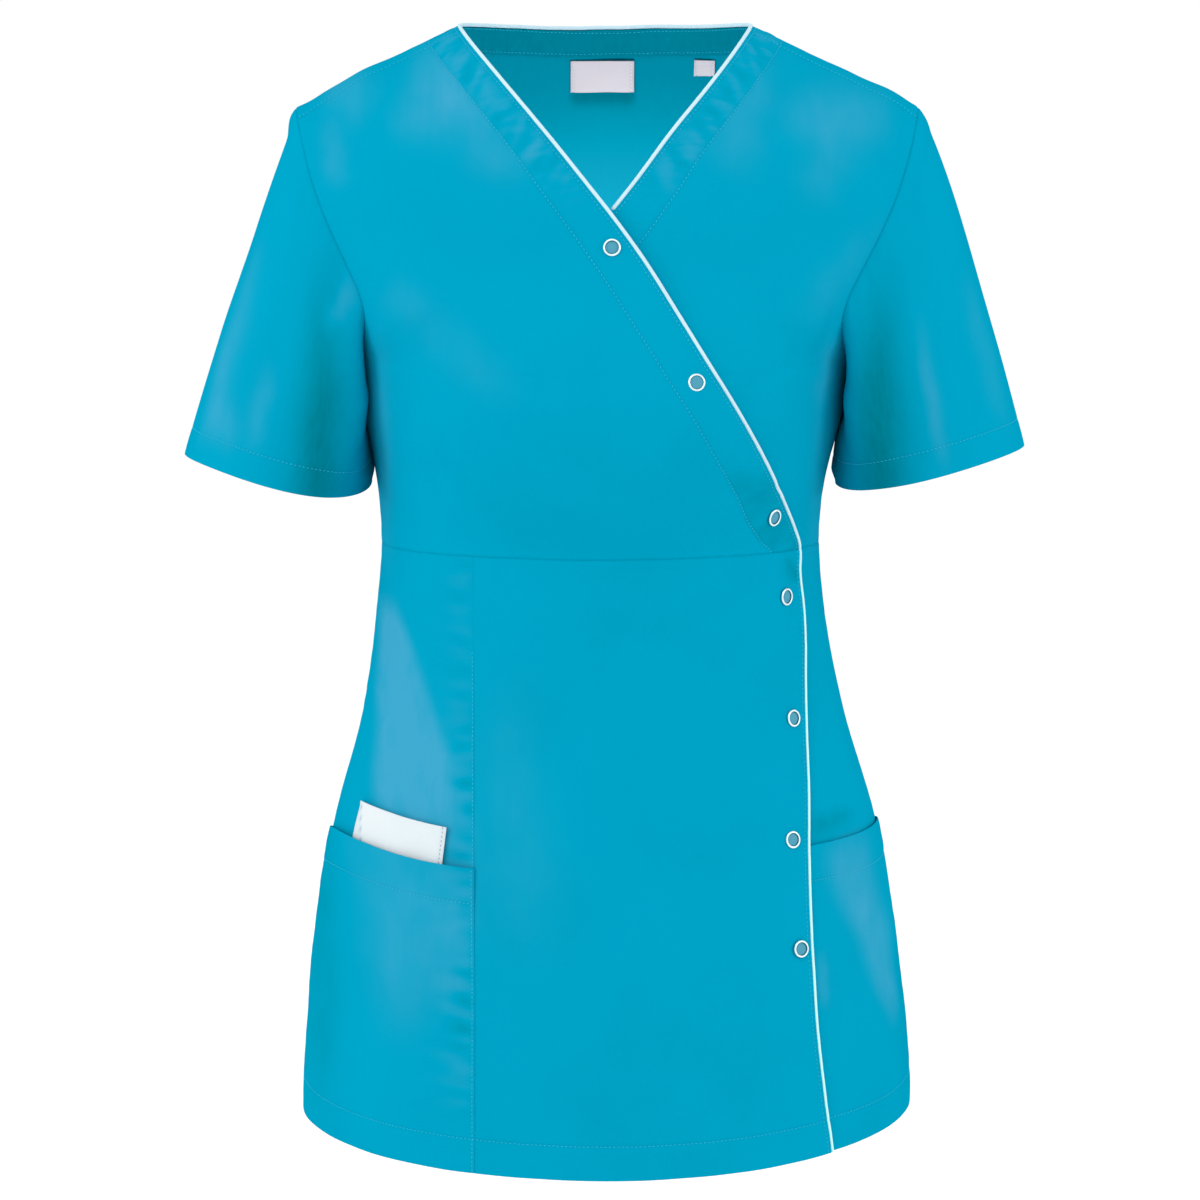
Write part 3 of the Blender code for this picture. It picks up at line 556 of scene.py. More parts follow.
YOKE_ROWS, SCOOP_ROWS, SIDE_ROWS, HIP_ROWS, POCKET_ROWS = 40, 24, 30, 30, 30
WIDE = 72  # cells across a wide panel

Grid = namedtuple("Grid", "side turn height")  # rows run upward, and columns across


def spread(start, end, cells):
    """Turns from one edge to the other, a row for each pair."""
    share = np.linspace(0, 1, cells + 1)
    return start[:, None] * (1 - share) + end[:, None] * share


def upper_grid(side, edge, inner, columns, neck_drop=None):
    """Rows from the line under the bust up to the shoulder line, columns from the side to the inner edge."""
    heights = np.linspace(NECK_TOP, -0.14, 600)
    inner_drops = ridge(across_at(inner(heights), heights)) - heights
    fall = 1 - np.cos(np.linspace(SQUARE, 0, YOKE_ROWS + 1))
    top = edge(np.zeros(1) + ARMHOLE_FOOT + SCOOP)[0]
    inner_turn = inner(np.interp(YOKE_DROP * fall, inner_drops, heights))
    yoke_turn = spread(np.full(YOKE_ROWS + 1, top), inner_turn, columns)
    start = neck_drop(yoke_turn[0]) if neck_drop else np.zeros(columns + 1)
    yoke_height = height_below_ridge(yoke_turn, start + (YOKE_DROP - start) * fall[:, None])

    up_side = np.linspace(0, 1, SIDE_ROWS + 1)[:-1, None]
    up_scoop = 1 - np.cos(np.linspace(0, SQUARE, SCOOP_ROWS + 1)[:-1, None])
    low_turn = np.zeros((SIDE_ROWS + SCOOP_ROWS, columns + 1))
    for _ in range(6):
        side_height = empire(low_turn[:SIDE_ROWS]) * (1 - up_side) + ARMHOLE_FOOT * up_side
        scoop_height = ARMHOLE_FOOT * (1 - up_scoop) + yoke_height[:1] * up_scoop
        low_height = np.vstack([side_height, scoop_height])
        low_turn = spread(edge(low_height[:, 0]), inner(low_height[:, -1]), columns)
    return Grid(side, np.vstack([low_turn, yoke_turn]), np.vstack([low_height, yoke_height]))


def skirt_grid(side, edges, counts, pocket_sign=RIGHT):
    """Rows from the hem up to the pocket's top and on to the line under the bust, columns edge by edge."""
    low = np.linspace(0, 1, POCKET_ROWS + 1)[:, None]
    high = np.linspace(0, 1, HIP_ROWS + 1)[1:, None]
    to_pocket = np.vstack([low, np.ones_like(high)])
    to_top = np.vstack([np.zeros_like(low), high])
    starts = np.concatenate([[0], np.cumsum(counts)])
    turn = np.zeros((len(to_top), sum(counts) + 1))
    for _ in range(6):
        bottom, mouth = hem(side, turn), pocket_top(pocket_sign, turn)
        height = bottom + (mouth - bottom) * to_pocket + (empire(turn) - mouth) * to_top
        ends = [edge(height[:, column]) for edge, column in zip(edges, starts)]
        spans = [spread(a, b, count)[:, :-1] for a, b, count in zip(ends, ends[1:], counts)]
        turn = np.hstack(spans + [ends[-1][:, None]])
    return Grid(side, turn, height)


def back_neck_drop(turn):
    """How far the back neck's edge lies below the shoulder line."""
    across = across_at(turn, np.full_like(turn, NECK_TOP))
    share = np.clip(np.abs(across) / NECK_HALF, 0, 1)
    return np.where(share < 1, ridge(across) - NECK_TOP + BACK_NECK_DROP * (1 - share**2.5), 0)


# ---- fine grids


def run_along(points, axis=0):
    """Distance along lines of points from their first one."""
    step = np.linalg.norm(np.diff(points, axis=axis), axis=-1)
    pad = [(0, 0)] * step.ndim
    pad[axis] = (1, 0)
    return np.cumsum(np.pad(step, pad), axis=axis)


def cells_for(length):
    """How many cells of about one step fill a length."""
    return max(2, round(length / STEP))


def ladder(lines=(), reach=0.008, step=STEP):
    """Distances from an edge, close together at the edge and at each line of stitches."""
    marks = {0.0, 0.0004, 0.0009, 0.0016, 0.0026, reach}
    for line in lines:
        marks |= {line + shift * GROOVE_HALF for shift in (-2.4, -1.2, -0.5, 0, 0.5, 1.2, 2.4)}
    marks = sorted(mark for mark in marks if mark <= reach)
    filled = [0.0]
    for low, high in zip(marks, marks[1:]):
        if high - low > 0.0002:
            parts = max(1, round((high - low) / step))
            filled += [low + (high - low) * part / parts for part in range(1, parts + 1)]
    return np.array(filled)


def stations(cells, near, far):
    """A function from lengths of lines to the distances of new lines across them: near the start and near the
    end at given distances, or at an array of such distances for each line, and evenly between."""

    def place(length):
        length = length[:, None]
        first = near + 0 * length
        last = length - (far + 0 * length)[:, ::-1]
        share = np.linspace(0, 1, cells + 1)[1:-1]
        middle = first[:, -1:] + (last[:, :1] - first[:, -1:]) * share
        return np.hstack([first, middle, last])

    return place


def resampled(grid, axis, sections):
    """The grid with new lines across an axis. A section has the first and last of the old lines that it
    replaces, and a function from the section's lengths to the distances of its new ones."""
    run = np.moveaxis(run_along(torso(*grid), axis), axis, 1)
    places = []
    for number, (first, last, place) in enumerate(sections):
        start = run[:, first]
        spots = start[:, None] + place(run[:, last] - start)
        places.append(spots[:, 1:] if number else spots)
    new = []
    for old in (np.moveaxis(grid.turn, axis, 1), np.moveaxis(grid.height, axis, 1)):
        values = [np.interp(*line) for line in zip(np.hstack(places), run, old)]
        new.append(np.moveaxis(np.array(values), 1, axis))
    return Grid(grid.side, *new)


class Panel:
    """A fine grid with its points and its outward directions. edges holds, for each named edge, every point's
    distance from it and how far along it the point lies."""

    def __init__(self, grid, points=None, normal=None):
        self.grid = grid
        self.points = torso(*grid) if points is None else points
        self.normal = outward(grid.side, self.points) if normal is None else normal
        self.across, self.up = run_along(self.points, 1), run_along(self.points, 0)
        self.edges = {
            "start": (self.across, self.up),
            "end": (self.across[:, -1:] - self.across, self.up),
            "bottom": (self.up, self.across),
            "top": (self.up[-1:] - self.up, self.across),
        }

    def away(self, edge):
        """Each point's distance from a named edge."""
        return self.edges[edge][0]

    def uv(self):
        rows, columns = self.across.shape
        across = self.across - self.across[:, columns // 2 : columns // 2 + 1]
        return np.stack([across, self.up - self.up[rows // 2]], axis=-1)

    def cut(self):
        """Width, length and area of the cloth that the panel is cut from, before seams."""
        width, length = self.across[:, -1].max(), self.up[-1].max()
        a = self.points[1:, 1:] - self.points[:-1, :-1]
        b = self.points[1:, :-1] - self.points[:-1, 1:]
        area = np.linalg.norm(np.cross(a, b), axis=-1).sum() / 2
        return (float(width), float(length)), float(area)

    def line(self, outer, edge, at, keep=slice(None), way=1):
        """Places on the outer points, and outward directions, along a line at one distance from an edge."""
        parts = (outer, self.normal * way, self.away(edge))
        return line_on(*parts, at, edge in ("bottom", "top"), edge in ("top", "end", "band"), keep)


def line_on(outer, normal, distances, at, level, shrinking, keep=slice(None)):
    """Points and outward directions along a line through a grid, where distances come to the value at. They
    grow along the rows, or along the columns for a level line, or they shrink."""
    parts = [part.swapaxes(0, 1) if level else part for part in (outer, normal, distances)]
    points, ways, known = (part[keep, ::-1] if shrinking else part[keep] for part in parts)
    spots = np.broadcast_to(at, (len(known),))
    found = [
        [between(spot, row_known, row) for spot, row_known, row in zip(spots, known, rows)]
        for rows in (points, ways)
    ]
    return np.array(found[0]), unit(np.array(found[1]))


def between(spots, known, vectors):
    """Vectors at new places along a line, from those at known places."""
    return np.stack([np.interp(spots, known, vectors[:, k]) for k in range(3)], axis=-1)


# ---- creases and puckers


def noise(u, v, seed):
    """Smooth noise, mostly between -1 and 1, with about one bump for each unit of u and of v."""
    u, v = np.broadcast_arrays(np.asarray(u, float), np.asarray(v, float))
    cell_u, cell_v = np.floor(u), np.floor(v)
    fu, fv = u - cell_u, v - cell_v

    def corner(i, j):
        angle = np.sin((cell_u + i) * 127.1 + (cell_v + j) * 311.7 + seed * 74.7) * 43758.5453
        angle = 2 * math.pi * (angle - np.floor(angle))
        return np.cos(angle) * (fu - i) + np.sin(angle) * (fv - j)

    su, sv = (t * t * t * (t * (6 * t - 15) + 10) for t in (fu, fv))
    low = corner(0, 0) * (1 - su) + corner(1, 0) * su
    high = corner(0, 1) * (1 - su) + corner(1, 1) * su
    return 1.6 * (low * (1 - sv) + high * sv)


def along_line(u, v, row, stretch):
    """How far along a row's line, as a share of its length, how far beside it, and its length. stretch is
    what a unit of v is worth beside one of u."""
    start = np.array([row.u0, row.v0 * stretch])
    end = np.array([row.u1, row.v1 * stretch])
    length = math.hypot(*(end - start))
    way_u, way_v = (end - start) / length
    u, v = u - start[0], v * stretch - start[1]
    return (u * way_u + v * way_v) / length, v * way_u - u * way_v, length


def ridges(rows, u, v, stretch=1.0):
    """Bowed ridges along lines, falling off beside them and towards their ends."""
    total = np.zeros(np.broadcast(u, v).shape)
    for row in rows:
        t, aside, length = along_line(u, v, row, stretch)
        inside = np.clip(t, 0, 1)
        aside = aside - row.bow * 4 * inside * (1 - inside)
        wander = 0.25 * row.half * noise(t * length / (6 * row.half), row.u0 * 97, 3)
        ends = np.sin(math.pi * inside) ** 0.8 * (0.85 + 0.15 * noise(t * 3, row.v1 * stretch * 53, 4))
        total += row.rise * (ends * bell(aside + wander, row.half) * ((t > 0) & (t < 1)))
    return total


def patches(rows, u, v, stretch=1.0):
    """Soft patches along lines, each wider at one end. Those with sharper sides have shorter ends."""
    total = np.zeros(np.broadcast(u, v).shape)
    for row in rows:
        t, aside, _ = along_line(u, v, row, stretch)
        half = row.half0 + (row.half1 - row.half0) * np.clip(t, 0, 1)
        wander = 0.3 * half * noise(t * 3, row.u0 * 97, 5)
        first, last = ((-0.30, 0.35), (0.60, 1.20)) if row.edge == 2 else ((-0.12, 0.12), (0.80, 1.15))
        ends = ease(*first, t) * (1 - ease(*last, t))
        total += row.share * np.exp(-np.abs((aside + wander) / half) ** row.edge) * ends
    return total


def relief(side, points):
    """How far the creases and soft waves of the cloth stand out, the same for all that lies on this side."""
    across, height = points[..., 0], points[..., 2]
    out = ridges(CREASES[side], across, height)
    out += 0.0011 * noise(across / 0.060, height / 0.085, 5 + side)
    out += 0.00035 * noise(across / 0.024, height / 0.034, 15 + side)
    out += 0.0007 * noise(across / 0.035, 0, 25 + side) * ease(-0.54, -0.70, height)
    turn = np.abs(turn_at(across, height))
    beside = armhole_turn(height) - turn  # from the side seam or the armhole
    below = ridge(across) - height
    lift = sum(wave.rise * bell(across - wave.across, wave.half) for wave in SHOULDER_WAVES)
    swell = np.where(across > 0, FLANK_SWELL[LEFT], FLANK_SWELL[RIGHT])
    swell = swell * bell(height - FLANK_HEIGHT, FLANK_HALF) * (1 - ease(0.0, 0.5, SQUARE - turn))
    common = lift * (1 - ease(0.0, 0.05, below)) + swell
    return out * ease(0.0, 0.14, beside) * ease(0.0, 0.02, below) + common


def sleeve_relief(sign, around, down):
    """How far a sleeve's folds stand out, at shares round it and down it."""
    out = ridges(FOLDS[sign], around, down, SLEEVE_STRETCH)
    out += HEAD_FALL[sign] * bell(around - 0.5, 0.10) * ease(0.0, 0.06, down) * (1 - ease(0.35, 0.65, down))
    swell = INNER_SWELL[sign] * bell(np.minimum(around, 1 - around), 0.07)
    out += swell * ease(0.30, 0.65, down) * (1 - 0.6 * ease(0.88, 1.0, down))
    blend = ease(0.0, 0.08, around) * ease(0.0, 0.08, 1 - around)  # 0 at the underarm, where it closes
    out += 0.0009 * noise(around * 8, down * 2.2, 31 + sign) * blend
    return out * ease(0.0, 0.10, down)


def gleam_at(side, points):
    """How much the cloth gleams, or below 0 how much it lies in a hollow's shade."""
    across, height = points[..., 0], points[..., 2]
    broken = 0.30 * noise(across / 0.014, height / 0.024, 45 + side)
    broken += 0.22 * noise(across / 0.005, height / 0.018, 46)
    return patches(GLEAMS[side], across, height) * (1 + broken)


def sleeve_gleam(sign, around, down):
    """The same for a sleeve, at shares round it and down it. Its shades aren't broken up."""
    total = patches(SHINES[sign], around, down, SLEEVE_STRETCH)
    broken = 0.30 * noise(around * 24, down * 5, 47 + sign) + 0.14 * noise(around * 60, down * 12, 48)
    return total * (1 + broken * (total > 0))


def seam(distance, run, seed, pucker=0.00022, reach=0.010):
    """A seam's rounded dip, and the puckers that leave it."""
    near = distance / reach * np.exp(1 - 2 * distance / reach)
    puckers = pucker * noise(run / PUCKER_PITCH, distance / 0.03, seed) * near * 2
    return puckers - SEAM_DIP * bell(distance, SEAM_ROUND)


def stitched(distance, run, line, seed, pucker, reach=0.006):
    """A groove along a line of stitches, and small puckers beside it."""
    beside = distance - line
    puckers = pucker * noise(run / PUCKER_PITCH, beside / 0.03, seed) * bell(beside, reach)
    return puckers - GROOVE * bell(beside, GROOVE_HALF)


def folded(distance, line):
    """The slight fullness of a double layer between a folded edge and its stitches."""
    share = np.clip(distance / line, 0, 1)
    return 0.00022 * np.sin(math.pi * share) ** 0.7 * (share < 1)


def tone_at(distance, line, depth, half=0.0009):
    """A mark of tone along a line: darker for a depth below 0, as painted shade, and lighter above 0."""
    return depth * bell(distance - line, half)


# ---- meshes


def placed(name, data):
    """A new object in the scene."""
    piece = bpy.data.objects.new(name, data)
    bpy.context.collection.objects.link(piece)
    return piece


def made(name, vertices, faces, material, uv=None, marks=None):
    """A mesh object on the one body. marks are named values, one for each vertex."""
    mesh = bpy.data.meshes.new(name)
    mesh.from_pydata(vertices, [], faces)
    mesh.validate()
    mesh.materials.append(material)
    mesh.shade_smooth()
    if uv is not None:
        corners = np.empty(len(mesh.loops), dtype=np.int32)
        mesh.loops.foreach_get("vertex_index", corners)
        mesh.uv_layers.new(name="cut").uv.foreach_set("vector", uv[corners].astype(np.float32).ravel())
    for mark, values in (marks or {}).items():
        layer = mesh.attributes.new(mark, "FLOAT", "POINT")
        layer.data.foreach_set("value", np.asarray(values, dtype=np.float32).ravel())
    piece = placed(name, mesh)
    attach(piece, "root")
    return piece


def numbered(rows, columns, around=False, over=False):
    """The numbers of a grid's points, with the first column again after the last, and the first row too."""
    number = np.arange(rows * columns).reshape(rows, columns)
    number = np.hstack([number, number[:, :1]]) if around else number
    return np.vstack([number, number[:1]]) if over else number


def quads_of(number):
    """A face for each cell of a grid of point numbers."""
    corners = number[:-1, :-1], number[:-1, 1:], number[1:, 1:], number[1:, :-1]
    return np.stack(corners, axis=-1).reshape(-1, 4)


def border(rows, columns, closed):
    """The loops of a grid's border, as point numbers, and the number next to each one inside."""
    number = numbered(rows, columns)
    if closed:
        return [(number[0], number[1]), (number[-1], number[-2])]
    inner = number[np.clip(np.arange(rows), 1, rows - 2)][:, np.clip(np.arange(columns), 1, columns - 2)]
    walks = [(part[0], part[1:, -1], part[-1, -2::-1], part[-2:0:-1, 0]) for part in (number, inner)]
    return [[np.concatenate(walk) for walk in walks]]


def shell(name, outer, inward, uv, marks, material, closed=False):
    """A closed thin shell with a rounded rim: a grid of outer points, and the step from each through the
    cloth. A mark is an array of values, or a pair of them for the outside and the inside."""
    rows, columns = outer.shape[:2]
    count = rows * columns
    quads = quads_of(numbered(rows, columns, closed))
    i, j = rows // 2, columns // 2
    turned = np.cross(outer[i, j + 1] - outer[i, j], outer[i + 1, j] - outer[i, j])
    if np.dot(turned, inward[i, j]) > 0:
        quads = quads[:, ::-1]
    top, low = outer.reshape(-1, 3), (outer + inward).reshape(-1, 3)
    vertices, faces = [top, low], [quads, quads[:, ::-1] + count]
    uvs = [uv.reshape(-1, 2)] * 2
    # The inner skin is marked, for the cloth's painted tint of the light bounced within the garment.
    marks = {"inside": (np.zeros(count), np.ones(count))} | marks
    pairs = {mark: values if isinstance(values, tuple) else [values] * 2 for mark, values in marks.items()}
    marks = {mark: [np.ravel(values) for values in pair] for mark, pair in pairs.items()}
    start = 2 * count
    for loop, inner in border(rows, columns, closed):
        thick = np.linalg.norm(top[loop] - low[loop], axis=1, keepdims=True)
        rim = (top[loop] + low[loop]) / 2 + unit(top[loop] - top[inner]) * thick * 0.3
        own = start + np.arange(len(loop))
        after, own_after = np.roll(loop, -1), np.roll(own, -1)
        upper = np.stack([loop, after, own_after, own], axis=-1)
        lower = np.stack([own, own_after, after + count, loop + count], axis=-1)
        if ((quads == loop[0]) & (np.roll(quads, -1, axis=1) == loop[1])).any():
            # a rim's face runs along the shared edge the other way
            upper, lower = upper[:, ::-1], lower[:, ::-1]
        vertices.append(rim)
        faces += [upper, lower]
        uvs.append(uvs[0][loop])
        for values in marks.values():
            values.append(values[0][loop])
        start += len(loop)
    marks = {mark: np.hstack(values) for mark, values in marks.items()}
    return made(name, np.vstack(vertices), np.vstack(faces), material, np.vstack(uvs), marks)


def dress(name, panel, extra, tone, thickness=FINE, gleam=0.0, dull=0.0, inside_gleam=None, under=False):
    """A panel's shell of the blouse's cloth, and its outer points: moved out by the common relief and by its
    own, and for the under front in by its layer. gleam adds to the common gleam, of which dull is the share
    that doesn't show; both are painted highlights and painted shade. The last argument is the gleam of the
    inside skin, its painted light and shade."""
    out = relief(panel.grid.side, panel.points) + extra - (under_layer(panel.points) if under else 0.0)
    outer = panel.points + panel.normal * out[..., None]
    inward = -panel.normal * (np.zeros(out.shape) + thickness)[..., None]
    gleam = gleam_at(panel.grid.side, panel.points) * (1 - dull) + gleam
    marks = {"tone": tone + 0 * out, "gleam": gleam if inside_gleam is None else (gleam, inside_gleam)}
    return shell(name, outer, inward, panel.uv(), marks, CLOTH_LOOK), outer


def circles(count, first, second):
    """Unit circles of so many points, each in the plane of a pair of directions."""
    turns = 2 * math.pi * np.arange(count) / count
    return np.cos(turns)[:, None] * first[..., None, :] + np.sin(turns)[:, None] * second[..., None, :]


def tube(name, path, up, radius, sides, material, seed):
    """A soft tube along a path with rounded ends. Along the skirt its tone is lighter and more cyan: painted
    light.
    """
    run = run_along(path)
    count = max(4, round(run[-1] / 0.0014))
    spots = np.linspace(0, run[-1], count)
    path, up = between(spots, run, path), unit(between(spots, run, up))
    along = unit(np.gradient(path, axis=0))
    aside = unit(np.cross(along, up))
    above = np.cross(along, aside)
    ends = np.minimum(spots, run[-1] - spots)
    radius = np.interp(spots, run, radius + 0 * run)
    girth = radius * np.sqrt(np.clip(1 - (1 - np.minimum(ends / radius, 1)) ** 2, 0.04, 1))
    girth = girth * (1 + 0.035 * noise(spots / 0.007, 0, seed))
    vertices = (path[:, None] + girth[:, None, None] * circles(sides, aside, above)).reshape(-1, 3)
    round_ = 2 * math.pi * np.arange(sides) / sides * radius.mean()
    uv = np.stack(np.broadcast_arrays(round_, spots[:, None]), axis=-1).reshape(-1, 2)
    number = numbered(count, sides)
    faces = quads_of(numbered(count, sides, True)).tolist()
    faces += [number[0][::-1].tolist(), number[-1].tolist()]
    # Painted light: the tone rises along the skirt.
    return made(name, vertices, faces, material, uv, {"tone": ease(-0.27, -0.37, vertices[:, 2])})


def stitches(name, lines, material):
    """Threads along lines on the cloth. A line is its points and the cloth's outward directions there."""
    sides, rings = 5, len(STITCH_SHAPE)
    places, rises, sizes = np.array(STITCH_SHAPE).T
    vertices = []
    for points, ways in lines:
        run = run_along(points)
        starts = np.arange(0.001, run[-1] - STITCH, STITCH_PITCH)
        spots = starts[:, None] + STITCH * places
        centre, way = between(spots, run, points), unit(between(spots, run, ways))
        aside = unit(np.cross(unit(centre[:, -1:] - centre[:, :1]), way))
        ring = circles(sides, aside, way) * (THREAD * sizes)[:, None, None]
        vertices.append(((centre + way * rises[:, None])[..., None, :] + ring).reshape(-1, 3))
    vertices = np.vstack(vertices)
    one = quads_of(numbered(rings, sides, True))[:, [1, 0, 3, 2]].tolist()
    one += [list(range(sides)), list(range((rings - 1) * sides, rings * sides))[::-1]]
    firsts = range(0, len(vertices), rings * sides)
    return made(name, vertices, [[first + k for k in face] for first in firsts for face in one], material)


# ---- materials


class Shading:
    """A material's node tree, with a short way to add nodes. A value that is a socket is linked."""

    def __init__(self, name, roughness, specular, metallic=0.0):
        self.material = bpy.data.materials.new(name)
        self.material.use_nodes = True
        self.tree = self.material.node_tree
        self.shader = self.tree.nodes["Principled BSDF"]
        self.set(self.shader, {"Roughness": roughness, "Metallic": metallic})
        self.shader.inputs["Specular IOR Level"].default_value = specular

    def set(self, node, values):
        for socket, value in values.items():
            if isinstance(value, bpy.types.NodeSocket):
                self.tree.links.new(value, node.inputs[socket])
            else:
                node.inputs[socket].default_value = value

    def add(self, kind, output, values=None, **settings):
        """An output of a new node."""
        node = self.tree.nodes.new("ShaderNode" + kind)
        for key, value in settings.items():
            setattr(node, key, value)
        self.set(node, values or {})
        return node.outputs[output]

    def mark(self, name):
        """The values that a mesh has at its vertices."""
        return self.add("Attribute", "Fac", attribute_name=name)

    def math(self, operation, first, second=0.0):
        return self.add("Math", 0, {0: first, 1: second}, operation=operation)

    def scaled(self, value, offset, factor):
        return self.math("MULTIPLY", self.math("SUBTRACT", value, offset), factor)

    def noise(self, vector, scale, detail=2.0, roughness=0.5):
        values = {"Vector": vector, "Scale": scale, "Detail": detail, "Roughness": roughness}
        return self.add("TexNoise", "Fac", values)

    def weave(self, vector, pitch, slant):
        """Height of a plain weave of threads that far apart, from coordinates in metres."""
        u = self.add("SeparateXYZ", "X", {"Vector": vector})
        v = u.node.outputs["Y"]
        if slant:
            v = self.math("ADD", v, self.math("MULTIPLY", u, slant))
        waves = [self.math("SINE", self.math("MULTIPLY", part, math.pi / pitch)) for part in (u, v)]
        return self.math("MULTIPLY", *waves)

    def mixed(self, share, low, high):
        """A colour between two, by a share from 0 to 1."""
        colours = [part if isinstance(part, bpy.types.NodeSocket) else (*part, 1) for part in (low, high)]
        values = {0: share, 6: colours[0], 7: colours[1]}
        return self.add("Mix", 2, values, data_type="RGBA", clamp_factor=True)

    def tinted(self, value, colour, high, low):
        """A colour, mixed with high by a value above 0 and with low by one below 0."""
        colour = self.mixed(self.math("MAXIMUM", value, 0.0), colour, high)
        return self.mixed(self.math("MAXIMUM", self.math("MULTIPLY", value, -1.0), 0.0), colour, low)

    def bump(self, height, strength, distance, normal=None):
        values = {"Height": height, "Strength": strength, "Distance": distance}
        return self.add("Bump", "Normal", values | ({} if normal is None else {"Normal": normal}))


def fabric(name, colours, pitch, roughness, specular, slant=0.0, gleams=None, inside=None):
    """Woven cloth: its colour varies softly in its threads, and tone marks paint shade into the grooves of
    seams and stitches, paint light beside some seams and lighten some folded edges. colours are its own, a
    light one and a dark one; gleams are the colours of painted highlights and of painted shade; inside is the
    colour of the inside skin, a greener painted tint of the light bounced within the garment."""
    look = Shading(name, roughness, specular)
    uv = look.add("UVMap", "UV", uv_map="cut")
    weave = look.weave(uv, pitch, slant)
    cloudy, slubs = look.noise(uv, 14.0, 3.0), look.noise(uv, 900.0, 2.0, 0.6)
    vary = look.math("ADD", look.scaled(cloudy, 0.5, 0.55), look.scaled(slubs, 0.5, 0.35))
    vary = look.math("ADD", vary, look.math("MULTIPLY", weave, 0.05))
    # The threads' own soft variation, with the tone marks' painted shade and light.
    colour = look.tinted(look.math("ADD", vary, look.mark("tone")), *colours)
    # The inside skin: a painted tint of the light bounced within the garment.
    if inside:
        colour = look.mixed(look.mark("inside"), colour, inside)
    # Painted highlights and painted shade, from the gleam marks.
    if gleams:
        streaks = look.add("Mapping", "Vector", {"Vector": uv, "Scale": (260.0, 90.0, 1.0)})
        streaks = look.math("ADD", look.math("MULTIPLY", look.noise(streaks, 1.0, 3.0), 0.6), 0.7)
        colour = look.tinted(look.math("MULTIPLY", look.mark("gleam"), streaks), colour, *gleams)
    rough = look.math("ADD", look.math("MULTIPLY", cloudy, 0.10), roughness - 0.05)
    normal = look.bump(slubs, 0.20, 0.00010, look.bump(weave, 0.30, 0.00008))
    look.set(look.shader, {"Base Color": colour, "Roughness": rough, "Normal": normal})
    return look.material


def plain(name, colour, roughness, specular, metallic=0.0, grain=0.0):
    """Thread or metal, with a fine uneven finish from its own coordinates."""
    look = Shading(name, roughness, specular, metallic)
    where = look.add("TexCoord", "Object")
    cloudy = look.noise(where, 400.0, 2.0)
    mix = look.mixed(cloudy, [part * 0.93 for part in colour], colour)
    rough = look.math("ADD", look.math("MULTIPLY", cloudy, grain), roughness)
    normal = look.bump(look.noise(where, 2500.0), 0.1, 0.00003)
    look.set(look.shader, {"Base Color": mix, "Roughness": rough, "Normal": normal})
    return look.material


# Each cloth's own colour comes first, then a lighter and a darker copy of it, which the tone marks mix in:
# painted shade in the grooves of seams and stitches, painted light beside some seams and on the piping along
# the skirt, and lighter bands along some folded edges.
TURQUOISE = (0.0, 0.258, 0.400), (0.0, 0.290, 0.445), (0.0, 0.185, 0.290)
# The colours of the painted highlights and of the painted shade.
GLEAMING = (0.034, 0.275, 0.430), (0.0, 0.155, 0.205)
# The last colour, for the cloth's inside, is a greener copy of its own: a painted tint of the light bounced
# within the garment.
CLOTH_LOOK = fabric("turquoise cloth", TURQUOISE, 0.00034, 0.5, 0.0, 0.0, GLEAMING, (0.0, 0.274, 0.390))
WHITE = (0.57, 0.625, 0.645), (0.63, 0.67, 0.68), (0.32, 0.43, 0.50)
WHITE_LOOK = fabric("white cloth", WHITE, 0.0003, 0.7, 0.2)
CORD = (0.47, 0.63, 0.70), (0.47, 0.77, 0.775), (0.24, 0.45, 0.53)
PIPING_LOOK = fabric("white piping", CORD, 0.0003, 0.7, 0.0, 1.0)
BARE = (0.66, 0.58, 0.61), (0.75, 0.70, 0.72), (0.40, 0.37, 0.40)
LABEL_LOOK = fabric("bare label", BARE, 0.0002, 0.5, 0.2)
THREAD_LOOK = plain("turquoise thread", (0.035, 0.43, 0.62), 0.55, 0.0)
WHITE_THREAD_LOOK = plain("white thread", (0.7, 0.78, 0.82), 0.55, 0.2)
DISC_LOOK = plain("snap cloth", (0.060, 0.265, 0.370), 0.6, 0.1)
# The colour of a flat dark ring inside each snap: painted shade of the gap there.
SNAP_SHADE_LOOK = plain("snap painted shade", (0.0, 0.10, 0.15), 0.7, 0.0)
INSERT_THREAD_LOOK = plain("grey thread", (0.22, 0.33, 0.44), 0.55, 0.1)
METAL_LOOK = plain("snap metal", (0.66, 0.78, 0.82), 0.30, 0.3, 0.55, 0.10)

# ---- the pieces


def trim(piece, replaced=()):
    """Hides the solids that a piece replaces, and gives the piece back."""
    if replaced:
        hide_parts(*replaced)
    return piece


def finish(piece, name, lines, replaced, panel, slot="cloth", held="draped", rests_on=(), look=THREAD_LOOK):
    """Adds the stitches of a piece of cloth, hides the solids that the piece replaces, and works out the
    size of the cloth that it is cut from.
    """
    thread = trim(stitches(f"{name}_stitches", lines, look))
    trim(piece, replaced)
    flat, area = panel.cut()
    area = min(area, flat[0] * flat[1])


def tones(panel, *rows):
    """Tone marks along lines of a panel, mostly painted shade in the grooves of seams and stitches. A row has
    the edge, the line's distance from it and its depth.
    """
    return sum(tone_at(panel.away(edge), *values) for edge, *values in rows)


def band_line(height):
    """From the crossing edge to the band's stitches."""
    return BAND_LINE[0] + (BAND_LINE[1] - BAND_LINE[0]) * ease(0.02, -0.16, height)


def lean_of(grid):
    """How much further along each row a distance straight from the last column is."""
    points = torso(*grid)
    along_edge = unit(np.gradient(points[:, -1], axis=0))
    along_row = unit(points[:, -1] - points[:, -2])
    square = np.sqrt(1 - (along_edge * along_row).sum(axis=1) ** 2)
    return 1 / np.clip(square, 0.45, 1)


